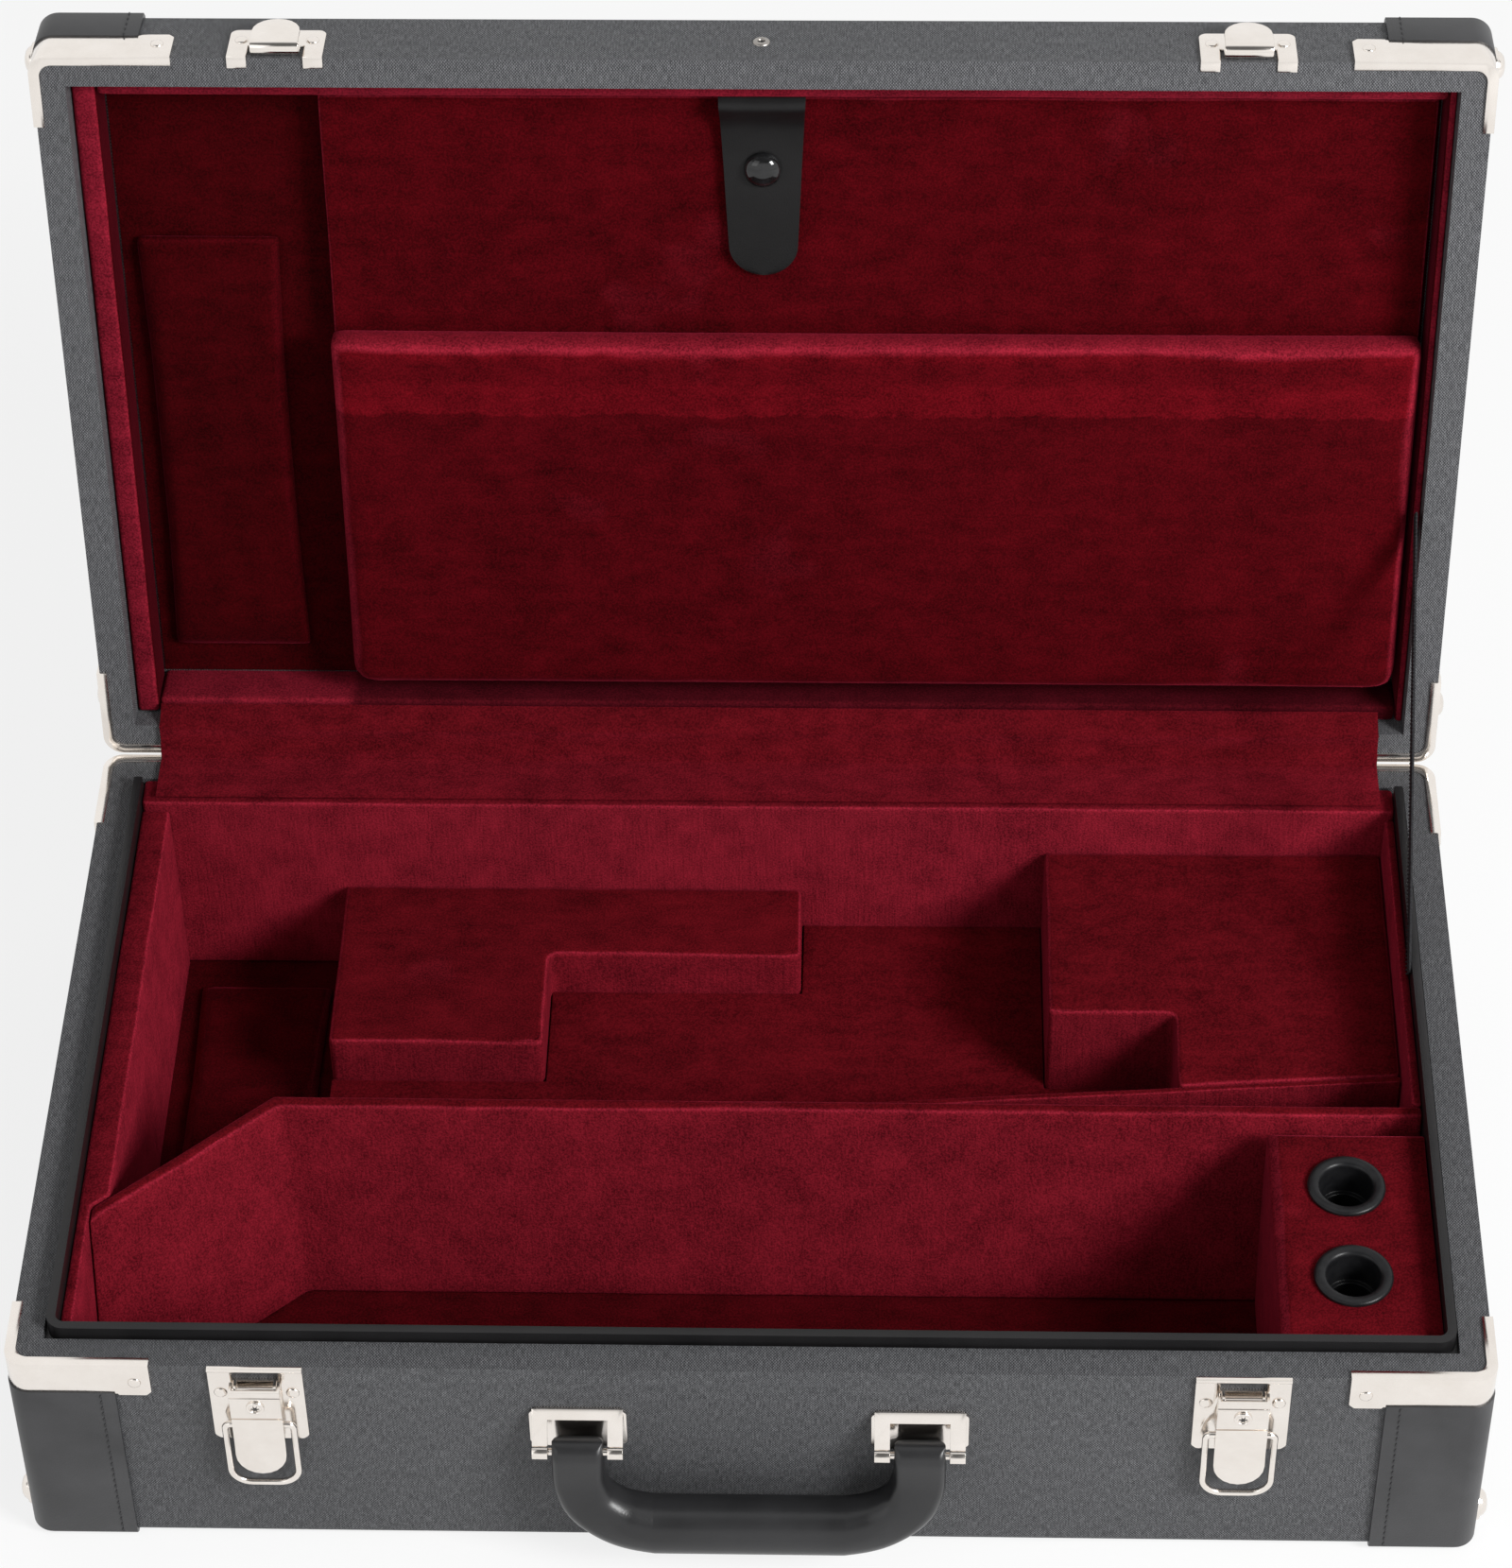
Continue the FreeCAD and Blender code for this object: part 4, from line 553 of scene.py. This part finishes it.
at_points = repeat_tree("fasteners_at_points", False)
rivet_head = [(0, 0), (0.0026, 0), (0.00255, 0.00025), (0.0022, 0.0006), (0.0016, 0.00087),
              (0.0008, 0.00098), (0, 0.001)]
glide_head = [(0, 0), (0.007, 0), (0.007, 0.0008), (0.0067, 0.0012), (0.0056, 0.0013), (0.0054, 0.0021),
              (0.0047, 0.0031), (0.0036, 0.0039), (0.0022, 0.0043), (0.001, 0.00448), (0, 0.0045)]
eyelet_head = [(0, 0), (0.0034, 0), (0.0033, 0.0003), (0.0029, 0.0007), (0.0023, 0.0009),
               (0.0017, 0.0008), (0.0014, 0.0004), (0.0013, -0.0002), (0, -0.0003)]
widest_rivet = 0.003
for shell in ("base", "lid"):
    small = [seat for seat in seats(shell + "_rivets") if seat[2] < widest_rivet]
    set_on(shell + "_rivets_made", small, rivet_head, 20, shell, bright_nickel, shell + "_rivets")
for shell in ("base", "lid"):
    set_on(shell + "_glides_made", seats(shell + "_glides"), glide_head, 32, shell, bright_nickel,
           shell + "_glides")
eyelet_seat = [seat for seat in seats("lid_rivets") if seat[2] >= widest_rivet]
set_on("lid_eyelet", eyelet_seat, eyelet_head, 28, "lid", nickel("aged_nickel", 0.36, shade=0.42))

# ---------------------------------------------------------------- Latch bosses and bails
# Each lever carries a domed lock button with a keyway, and a loop of 2.7 mm wire that hooks over
# the keeper's tongue. The wire is bent cold and its ends turn in through the lever's cheeks.
def tube(name, points, radius, steps):
    """A round wire through the points, its ends closed."""
    verts, side = [], None
    for i, here in enumerate(points):
        ahead = (points[min(i + 1, len(points) - 1)] - points[max(i - 1, 0)]).normalized()
        side = (ahead.orthogonal() if side is None else side - ahead * side.dot(ahead)).normalized()
        across = ahead.cross(side)
        verts += [here + (side * math.cos(a) + across * math.sin(a)) * radius
                  for a in [2 * math.pi * k / steps for k in range(steps)]]
    mesh = bpy.data.meshes.new(name)
    mesh.from_pydata([v[:] for v in verts], [], hoops(steps, len(points)))
    return smoothed(mesh, 60)


def bent(points, radii, steps):
    """The points of a bent wire, each corner turned by its radius."""
    line = [points[0]]
    for i in range(1, len(points) - 1):
        here = points[i]
        before, after = (points[i - 1] - here).normalized(), (points[i + 1] - here).normalized()
        half = before.angle(after) / 2
        centre = here + (before + after).normalized() * (radii[i - 1] / math.sin(half))
        start = here + before * (radii[i - 1] / math.tan(half)) - centre
        axis = before.cross(after).normalized()
        line += [centre + Quaternion(axis, -(math.pi - 2 * half) * k / steps) @ start
                 for k in range(steps + 1)]
    return line + [points[-1]]


def turned_piece(name, profile, steps, seat, body, slot_name, finish, *stands_for, sharp=50):
    """One turned piece on its seat."""
    mesh = turned_mesh(name, profile, steps)
    mesh.transform(seat)
    return plain_piece(smoothed(mesh, sharp), body, slot_name, finish, *stands_for)


# The keyway is a dark star raised on the boss: its near-black colour is painted shade standing in for the
# hole.
keyway_shade = mottled("keyway_shade", 0.5, (0.012, 0.011, 0.010), (0.05, 0.046, 0.042), (400,))[0]
boss_head = [(0, 0), (0.0035, 0), (0.0035, 0.0004), (0.0032, 0.00082), (0.0028, 0.0009), (0.0025, 0.0008),
             (0.0023, 0.0004), (0.0018, 0.00035), (0.0014, 0.00065), (0.0006, 0.0008), (0, 0.0008)]
star = [(r * math.cos(math.pi * k / 6), r * math.sin(math.pi * k / 6))
        for k, r in enumerate((0.0016, 0.0007) * 6)]
latch_x, boss_y, boss_z = 0.186, -0.173, 0.0893
wire_y, wire_z, wire_end, wire_half, wire_run = -0.1698, 0.0755, 0.0086, 0.01305, 0.0352
wire_radius, wire_bends = 0.00135, (0.0022, 0.008, 0.008, 0.0022)
wire_path = ((-wire_end, 0), (-wire_half, 0), (-wire_half, wire_run), (wire_half, wire_run), (wire_half, 0),
             (wire_end, 0))
for hand, x in (("left", -latch_x), ("right", latch_x)):
    boss_seat = Matrix.Translation((x, boss_y, boss_z)) @ Matrix.Rotation(math.radians(90), 4, "X")
    turned_piece("lock_boss_" + hand + "_made", boss_head, 28, boss_seat, hand + "_lever", "nickel",
                 bright_nickel, "lock_boss_" + hand)
    keyway = bpy.data.meshes.new("keyway_" + hand)
    keyway.from_pydata([(across, up, out) for out in (0.0003, 0.00088) for across, up in star], [],
                       hoops(len(star), 2))
    keyway.transform(boss_seat)
    plain_piece(keyway, hand + "_lever", "nickel", keyway_shade)
    wire = bent([Vector((x + across, wire_y, wire_z - down)) for across, down in wire_path], wire_bends, 8)
    plain_piece(tube("latch_bail_" + hand + "_made", wire, wire_radius, 16), hand + "_bail", "nickel",
                bright_nickel, "latch_bail_" + hand)

# ---------------------------------------------------------------- Carrying handle
# A bow moulded in black plastic over a steel strip. It swells from two flat legs, each on its pin
# between the knuckles of a folded bracket, to a round bar that fills the hand.
def smooth_between(rows, steps):
    """More rows on a smooth curve through the given ones."""
    made = []
    for i in range(len(rows) - 1):
        a, b, c, d = rows[max(i - 1, 0)], rows[i], rows[i + 1], rows[min(i + 2, len(rows) - 1)]
        for k in range(steps):
            t = k / steps
            made.append(tuple(0.5 * (2 * q + (r - p) * t + (2 * p - 5 * q + 4 * r - s) * t * t
                                     + (3 * q - p - 3 * r + s) * t ** 3) for p, q, r, s in zip(a, b, c, d)))
    return made + [tuple(rows[-1])]


def oblong(width, depth, corner, steps):
    """A rounded oblong about the origin."""
    points = []
    for quarter, (sx, sy) in enumerate(((1, 1), (-1, 1), (-1, -1), (1, -1))):
        for k in range(steps):
            a = math.pi / 2 * (quarter + (k + 0.5) / steps)
            points.append(Vector((sx * (width / 2 - corner) + corner * math.cos(a),
                                  sy * (depth / 2 - corner) + corner * math.sin(a), 0)))
    return points


def skinned(name, rings):
    """A closed skin through rings of points."""
    mesh = bpy.data.meshes.new(name)
    mesh.from_pydata([p[:] for ring in rings for p in ring], [], hoops(len(rings[0]), len(rings)))
    work = bmesh.new()
    work.from_mesh(mesh)
    bmesh.ops.recalc_face_normals(work, faces=work.faces)
    work.to_mesh(mesh)
    work.free()
    return smoothed(mesh)


grip_plastic = leather("grip_black", (0.016, 0.016, 0.017), 0.33, 0.0016, 0.00006)
# From a pin to the middle: how far inward, how far down and how thick, as shares, and the bar's turn.
grip_stations = [(0.0, 0.0, 0.0, 0), (0.0, 0.30, 0.08, 2), (0.035, 0.474, 0.22, 10), (0.12, 0.65, 0.42, 26),
                 (0.28, 0.79, 0.62, 45), (0.50, 0.90, 0.80, 62), (0.73, 0.96, 0.93, 78), (1.0, 1.0, 1.0, 90)]
pin_x, pin_y, pin_z = -0.065, -0.174, 0.066
grip_inward, grip_drop, grip_forward = 0.0286, 0.038, 0.0045
leg_round, leg_width, leg_corner, leg_thinnest = 0.006, 0.0194, 0.003, 0.0008
# The bar's width, depth and corner at the pin, and what each gains towards the middle.
bar_least, bar_gain = (0.0196, 0.012, 0.003), (0.003, 0.0106, 0.0078)
left_half = []
for k in range(7):
    height = leg_round * math.cos(math.pi / 2 * k / 7)
    depth = 2 * math.sqrt(max(leg_round ** 2 - height ** 2, leg_thinnest ** 2))
    ring = oblong(leg_width, depth, min(leg_corner, depth * 0.45), 8)
    left_half.append([Vector((pin_x + p.x, pin_y + p.y, pin_z + height)) for p in ring])
for inward, drop, swell, turn in smooth_between(grip_stations, 6):
    ring = oblong(*[least + gain * swell for least, gain in zip(bar_least, bar_gain)], 8)
    spin = Matrix.Rotation(math.radians(-turn), 4, "Y")
    centre = Vector((pin_x + grip_inward * inward, pin_y - grip_forward * swell, pin_z - grip_drop * drop))
    left_half.append([centre + spin @ p for p in ring])
right_half = [[Vector((-p.x, p.y, p.z)) for p in ring] for ring in reversed(left_half)]
plain_piece(skinned("handle_grip_made", left_half + right_half), "handle", "black_plastic", grip_plastic,
            "handle_grip")

# ---------------------------------------------------------------- Velvet linings of the base
# Burgundy plush with a short dense pile, glued over foam and fibreboard formers. Its colour is painted by
# facing: dark where the pile lies flat, pinker on the sides as painted light, and pinker on turned edges as
# painted sheen.
def spread(tree, value, low, high):
    """The part of the value between low and high, stretched over one and centred on zero."""
    return ranged(tree, value, low, high, -0.5, 0.5)


def plush(name, facing, flat, edge, side, way=None, marks=()):
    """Plush coloured by the way each face turns: the flat colour on faces turned that way, the edge colour
    as painted sheen on the turned edges, and the side colour as painted light and shade on the other faces.

    The marks are painted bands of light and shade along the given way, as (distance that way, share of the
    colour) pairs."""
    made, tree, surface = finish_named(name, 0.95, specular=0.03)
    source = add(tree, "ShaderNodeTexCoord").outputs
    place = source["Object"]
    lean = add(tree, "ShaderNodeVectorMath", {0: source["Normal"], 1: facing},
               operation="DOT_PRODUCT").outputs["Value"]
    rub = spread(tree, specks(tree, place, 14, 3.0, 0.6), 0.3, 0.7)
    painted_sheen_key = plus(tree, lean, times(tree, rub, 0.20))
    # Painted light and shade by facing: the ramp runs from the side colour, through the edge colour as a
    # painted sheen on turned edges, to the flat colour.
    colour = stepped(tree, painted_sheen_key, [(0.0, side), (0.45, side), (0.74, edge), (0.93, flat), (1.0, flat)])
    lines = [add(tree, "ShaderNodeMapping", {"Vector": place, "Scale": scale}).outputs[0]
             for scale in ((1100, 1100, 70), (55, 190, 190))]
    rows = [specks(tree, line, 1.0, 1.0) for line in lines]
    streak = add(tree, "ShaderNodeMix", {0: calc(tree, "GREATER_THAN", lean, 0.6), 2: rows[0],
                                         3: rows[1]}).outputs[0]
    pile = specks(tree, place, 1200, 2.0, 0.6)
    cloud = specks(tree, place, 75, 4.0, 0.6)
    share = 1.0
    for value, low, high, amount in ((pile, 0.38, 0.62, 0.60), (cloud, 0.32, 0.68, 0.40),
                                     (streak, 0.35, 0.65, 0.20)):
        share = plus(tree, share, times(tree, spread(tree, value, low, high), amount))
    share = plus(tree, share, times(tree, rub, 0.22))
    if marks:
        far = add(tree, "ShaderNodeVectorMath", {0: place, 1: way},
                  operation="DOT_PRODUCT").outputs["Value"]
        wander = times(tree, spread(tree, cloud, 0.3, 0.7), 0.003)
        first, last = marks[0][0], marks[-1][0]
        along = ranged(tree, plus(tree, far, wander), first, last)
        lines = stepped(tree, along, [((at - first) / (last - first), (part,) * 3) for at, part in marks])
        share = times(tree, share, lines)
    shaded = add(tree, "ShaderNodeVectorMath", {0: colour, "Scale": share}, operation="SCALE").outputs[0]
    tree.links.new(shaded, surface.inputs["Base Color"])
    surface.inputs["Sheen Weight"].default_value = 0.25
    surface.inputs["Sheen Roughness"].default_value = 0.35
    surface.inputs["Sheen Tint"].default_value = (0.80, 0.05, 0.12, 1)
    raised(tree, surface, plus(tree, pile, times(tree, streak, 0.6)), 0.0006, 0.5)
    return made


# Three copies of the same plush: the floor copy is darker as painted shade on the compartment floors and in
# the bell pit, and the pad copy is lighter as painted light on the wall pads.
bed_velvet = plush("velvet_base", (0, 0, 1),
                   (0.092, 0.0030, 0.0060), (0.230, 0.0120, 0.0250), (0.158, 0.0070, 0.0145))
floor_velvet_painted_shade = plush("velvet_floor", (0, 0, 1),
                     (0.056, 0.0016, 0.0034), (0.130, 0.0060, 0.0120), (0.110, 0.0045, 0.0090))
pad_velvet_painted_light = plush("velvet_pads", (0, 0, 1),
                   (0.125, 0.0050, 0.0105), (0.240, 0.0130, 0.0270), (0.205, 0.0100, 0.0210))


def covered(node, body, finish, radius, cell=0.012, wave=0.0004):
    """A former covered in plush: its edges turned over by the radius, its faces a little uneven."""
    work, mesh = welded(node)
    if radius:
        bmesh.ops.bevel(work, geom=sharp_edges(work, 35), offset=radius, segments=3, profile=0.5,
                        affect="EDGES", clamp_overlap=True)
    low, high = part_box(node)
    for axis in range(3):
        way = Vector([1.0 if i == axis else 0.0 for i in range(3)])
        cuts = int((high[axis] - low[axis]) / cell)
        for k in range(1, cuts + 1):
            spot = low + (high - low) * (k / (cuts + 1))
            geometry = work.verts[:] + work.edges[:] + work.faces[:]
            bmesh.ops.bisect_plane(work, geom=geometry, dist=1e-6, plane_co=spot, plane_no=way)
    work.normal_update()
    for v in work.verts:
        broad = noise.noise(v.co * 18 + Vector((3.1, 1.7, 9.2)))
        small = noise.noise(v.co * 55 + Vector((7.7, 2.3, 5.1)))
        v.co -= v.normal * (wave * (0.5 + 0.5 * broad) + wave * 0.35 * (0.5 + 0.5 * small))
    piece = placed(work, mesh, body, "velvet", finish, node)
    smoothed(mesh, 60)
    return piece


for node, radius, finish in (
        ("base_floor_lining", 0.0, floor_velvet_painted_shade), ("base_back_pad", 0.002, pad_velvet_painted_light),
        ("base_front_pad", 0.001, pad_velvet_painted_light), ("base_left_pad", 0.0025, pad_velvet_painted_light),
        ("base_right_pad", 0.0014, pad_velvet_painted_light), ("valve_bed", 0.0008, bed_velvet),
        ("stem_partition", 0.0013, bed_velvet), ("compartment_divider", 0.0022, bed_velvet)):
    covered(node, "base", finish, radius)
for node in ("bell_block", "stem_block", "mouthpiece_block"):
    covered(node, "base", bed_velvet, 0.003, cell=0.009, wave=0.0006)


def stuffed(node, body, finish, voxel, cap, swing=Matrix(), smooth=6):
    """A soft pad: its cover is blown out by the filling, and no point may move further than the cap."""
    work, mesh = welded(node)
    work.transform(swing.inverted())
    piece = placed(work, mesh, body, "velvet", finish, node)
    skin = piece.modifiers.new("skin", "REMESH")
    skin.mode, skin.voxel_size = "VOXEL", voxel
    ease = piece.modifiers.new("ease", "SMOOTH")
    ease.factor, ease.iterations = 0.5, smooth
    even = piece.data = worked_out(piece)
    even.name = node + "_made"
    start = [v.co.copy() for v in even.vertices]
    filling = piece.modifiers.new("filling", "CLOTH").settings
    filling.use_pressure = True
    filling.uniform_pressure_force = 4.0
    filling.effector_weights.gravity = 0
    filling.tension_stiffness = 40
    filling.bending_stiffness = 8
    for step in range(1, 21):
        bpy.context.scene.frame_set(step)
    grown = worked_out(piece)
    bpy.context.scene.frame_set(1)
    for v, g, s in zip(even.vertices, grown.vertices, start):
        move = g.co - s
        v.co = s + move * min(1.0, cap / max(move.length, 1e-9))
    bpy.data.meshes.remove(grown)
    even.transform(swing)
    even.materials.clear()
    even.materials.append(finish)
    even.shade_smooth()


stuffed("bell_pad", "base", floor_velvet_painted_shade, 0.002, 0.0012)

# ---------------------------------------------------------------- Mouthpiece sockets
# Two black plastic cups pushed into bored holes in the block. A rounded flange covers the
# plush's cut edge, and a ledge inside carries the mouthpiece's rim above a narrower well.
socket_plastic, tree, surface, place, cloud = mottled(
    "socket_black", 0.34, (0.006, 0.006, 0.007), (0.013, 0.013, 0.014), (220, 4.0, 0.6), specular=0.22)
raised(tree, surface, specks(tree, place, 1500), 0.00003, 0.4)
cup_profile = [(0, -0.046), (0.0122, -0.046), (0.0122, 0), (0.01515, 0), (0.01525, 0.0005), (0.0150, 0.0012),
               (0.0143, 0.0017), (0.0133, 0.0018), (0.0118, 0.0017), (0.0109, 0.0012), (0.01035, 0.0003),
               (0.0103, -0.0005), (0.0103, -0.0138), (0.0101, -0.014), (0.0088, -0.014), (0.0086, -0.0142),
               (0.0086, -0.0438), (0, -0.044)]
flange_radius, flange_height = 0.01525, 0.0018
socket_low, socket_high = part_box("mouthpiece_sockets")
for label, socket_y in (("front", socket_low.y + flange_radius), ("back", socket_high.y - flange_radius)):
    socket_x = (socket_low.x + socket_high.x) / 2
    cup_seat = Matrix.Translation((socket_x, socket_y, socket_high.z - flange_height))
    turned_piece("mouthpiece_socket_" + label, cup_profile, 48, cup_seat, "base", "black_plastic",
                 socket_plastic, "mouthpiece_sockets", sharp=40)

# ---------------------------------------------------------------- Velvet linings of the lid
# The same plush over the lid's board and side pads, with a low pad in the recess at the left. The
# flap is a covered board on a cloth hinge, with a broad padded block glued to its lower part.
lid_up = tuple((lid_swing.to_3x3() @ Vector((0, 0, -1))).normalized())
lid_along = lid_swing.to_3x3() @ Vector((0, -1, 0))
lid_velvet = plush("velvet_lid", lid_up,
                   (0.062, 0.0012, 0.0030), (0.200, 0.0100, 0.0205), (0.190, 0.0090, 0.0200))
# A darker copy of the plush as painted shade, for the lid's lining, the flap rest and the recess pad, where
# the flap shades the recess.
recess_velvet_painted_shade = plush("velvet_recess", lid_up,
                    (0.040, 0.0008, 0.0018), (0.058, 0.0014, 0.0032), (0.040, 0.0008, 0.0018))
# The side pads' copy: its faces toward the viewer pinker than the lining, partly its nap and partly painted
# light, and its inner sides near black as painted shade.
side_velvet = plush("velvet_lid_sides", lid_up,
                    (0.185, 0.0090, 0.0205), (0.205, 0.0105, 0.0220), (0.030, 0.0005, 0.0012))
edge_colours = (0.165, 0.0080, 0.0180), (0.200, 0.0100, 0.0205), (0.170, 0.0085, 0.0185)
edge_velvet = plush("velvet_lid_edges", lid_up, *edge_colours)
# The back pad's copy carries a painted shadow of the flap block: from x = -0.178 m its colour falls to 0.38
# by -0.174 m and to 0.30 at the right end.
sill_velvet_painted_shadow = plush("velvet_lid_sill", lid_up, *edge_colours,
                    (1, 0, 0), [(-0.178, 1.0), (-0.174, 0.38), (0.26, 0.30)])
for node, radius, finish in (("lid_lining", 0.0, recess_velvet_painted_shade), ("lid_left_pad", 0.0022, side_velvet),
                             ("lid_right_pad", 0.0015, side_velvet), ("lid_front_pad", 0.0022, edge_velvet),
                             ("lid_back_pad", 0.0022, sill_velvet_painted_shadow), ("flap_rest", 0.0008, recess_velvet_painted_shade),
                             ("flap_hinge_cloth", 0.0, lid_velvet)):
    covered(node, "lid", finish, radius)
covered("flap_board", "flap", lid_velvet, 0.0012, cell=0.010, wave=0.0006)
# Painted light in bands across the flap block: the first 33 mm below its top edge, where the front slopes,
# is lighter and brightest from 20 to 32.5 mm down, with a painted highlight along the rounded top edge.
block_top = max(v.co.dot(lid_along) for v in nodes["flap_block"].data.vertices)
block_painted_light_bands = [(block_top - fall, part) for fall, part in (
    (0.040, 1.0), (0.0335, 1.0), (0.0325, 1.6), (0.020, 1.65), (0.016, 1.3), (0.010, 1.25), (0.006, 1.5),
    (0.0, 1.3))]
block_velvet = plush("velvet_block", lid_up, (0.066, 0.0014, 0.0034), (0.185, 0.0090, 0.0190),
                     (0.150, 0.0070, 0.0150), tuple(lid_along), block_painted_light_bands)
stuffed("flap_block", "flap", block_velvet, 0.0030, 0.0012, lid_swing, 4)
stuffed("recess_pad", "lid", recess_velvet_painted_shade, 0.0022, 0.0015, lid_swing, 12)

# ---------------------------------------------------------------- Snap
# A tongue of black leather comes out of the front lining and lies over the flap. A glossy black
# cap near its middle presses on to a nickel stud that is riveted to the flap.
def snap_seat(height):
    """On the flap at the snap, at that height in the shut lid, looking into the case."""
    return lid_swing @ Matrix.Translation((0, snap_y, height)) @ Matrix.Rotation(math.pi, 4, "X")


snap_y, strap_z, strap_end = -0.1085, 0.1221, -0.0738
tab_leather = leather("tab_leather", (0.0065, 0.0062, 0.0064), 0.38, 0.0010, 0.00010, gloss=0.22)
stud_head = [(0, 0), (0.004, 0), (0.0039, 0.0003), (0.0032, 0.0006), (0.0022, 0.0009), (0.0012, 0.0011),
             (0, 0.0011)]
turned_piece("flap_stud_made", stud_head, 24, snap_seat(0.125), "flap", "nickel", bright_nickel,
             "flap_stud", sharp=180)
strap_line = smooth_between([
    (-0.1427, 0.1190, 0.0170), (-0.1380, 0.1163, 0.0168), (-0.1297, 0.1208, 0.0164),
    (-0.1180, strap_z, 0.0158), (snap_y, strap_z, 0.0153), (-0.0950, strap_z, 0.0147),
    (-0.0800, strap_z, 0.0140), (strap_end, strap_z, 0.0137)], 4)
tip_length, tip_half = 0.0135, 0.0137
strap_line += [(strap_end + tip_length * math.sin(a), strap_z, tip_half * math.cos(a))
               for a in [math.pi / 2 * k / 9 for k in range(1, 9)]]
strap_thick, face_crown, back_crown = 0.0013, 0.0004, 0.0002
columns = [-1, -0.97, -0.7, -0.35, 0, 0.35, 0.7, 0.97, 1]
strap_rings = []
for y, z, half in strap_line:
    face = [Vector((half * c, y, z - face_crown * (1 - c * c))) for c in columns]
    back = [Vector((half * c, y, z + strap_thick - back_crown * (1 - c * c))) for c in reversed(columns)]
    strap_rings.append([lid_swing @ p for p in face + back])
strap = plain_piece(skinned("tab_strap_made", strap_rings), None, "leather_black", tab_leather, "tab_strap")
strap_edge = strap.modifiers.new("edge", "BEVEL")
strap_edge.width, strap_edge.segments, strap_edge.angle_limit = 0.0003, 2, math.radians(50)
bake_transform(strap)
cap_plastic = mottled("snap_black", 0.08, (0.006, 0.006, 0.006), (0.014, 0.014, 0.015), (300, 3.0))[0]
cap_head = [(0, 0), (0.0075, 0), (0.0075, 0.0010), (0.0073, 0.0017), (0.0066, 0.0027), (0.0054, 0.0037),
            (0.0038, 0.0044), (0.0020, 0.0048), (0, 0.0049)]
turned_piece("tab_cap_made", cap_head, 40, snap_seat(0.1219), "tab", "black_plastic", cap_plastic, "tab_cap")

# ---------------------------------------------------------------- Hinge band and stay tape
# A single strip of plush is glued along the base's back pad, crosses the hinge gap and is glued
# to the lid's back pad. At the right a narrow ribbed tape stops the lid from falling back.
band_velvet = plush("velvet_band", (0, -0.7071, 0.7071),
                    (0.100, 0.0035, 0.0070), (0.125, 0.0050, 0.0105), (0.125, 0.0050, 0.0105))
band = covered("hinge_band", None, band_velvet, 0.0003, cell=0.009, wave=0.0002)
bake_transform(band)
tape_web, tree, surface, place, threads = mottled(
    "black_webbing", 0.8, (0.008, 0.008, 0.009), (0.034, 0.034, 0.037), (1100, 3.0, 0.7), specular=0.2)
raised(tree, surface, threads, 0.0002, 0.6)
tape = eased("stay_tape", None, "webbing", tape_web, 0.00015)
tape_points = sorted((v.co.copy() for v in tape.data.vertices), key=lambda p: p.z)
tape_foot, tape_head = [sum(points, Vector()) / 8 for points in (tape_points[:8], tape_points[-8:])]
rib_half, rib_thick, rib_crest, rib_foot, rib_pitch = 0.0037, 0.00062, 1.3, 0.0003, 0.0016
rib_edge = ((-rib_half, 0), (-rib_half, rib_thick), (rib_half, rib_thick), (rib_half, 0))
rib = bpy.data.meshes.new("tape_rib")
rib.from_pydata([(x, y, z) for x in (-rib_foot, rib_foot) for y, z in rib_edge]
                + [(0, -rib_half, rib_thick * rib_crest), (0, rib_half, rib_thick * rib_crest)], [],
                [(0, 1, 8, 5, 4), (3, 7, 6, 9, 2), (1, 2, 9, 8), (8, 9, 6, 5), (0, 3, 2, 1), (4, 5, 6, 7)])
ribs = repeated("stay_tape_ribs", repeat_tree("ribs_across_a_tape", True, faced=True),
                line_mesh("tape_line", [(tape_foot, tape_head)], [(-1, 0, 0)]),
                rib, rib_pitch, "base", "webbing", tape_web)
for piece in (tape, ribs):
    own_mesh(piece)
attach(tape, "base")
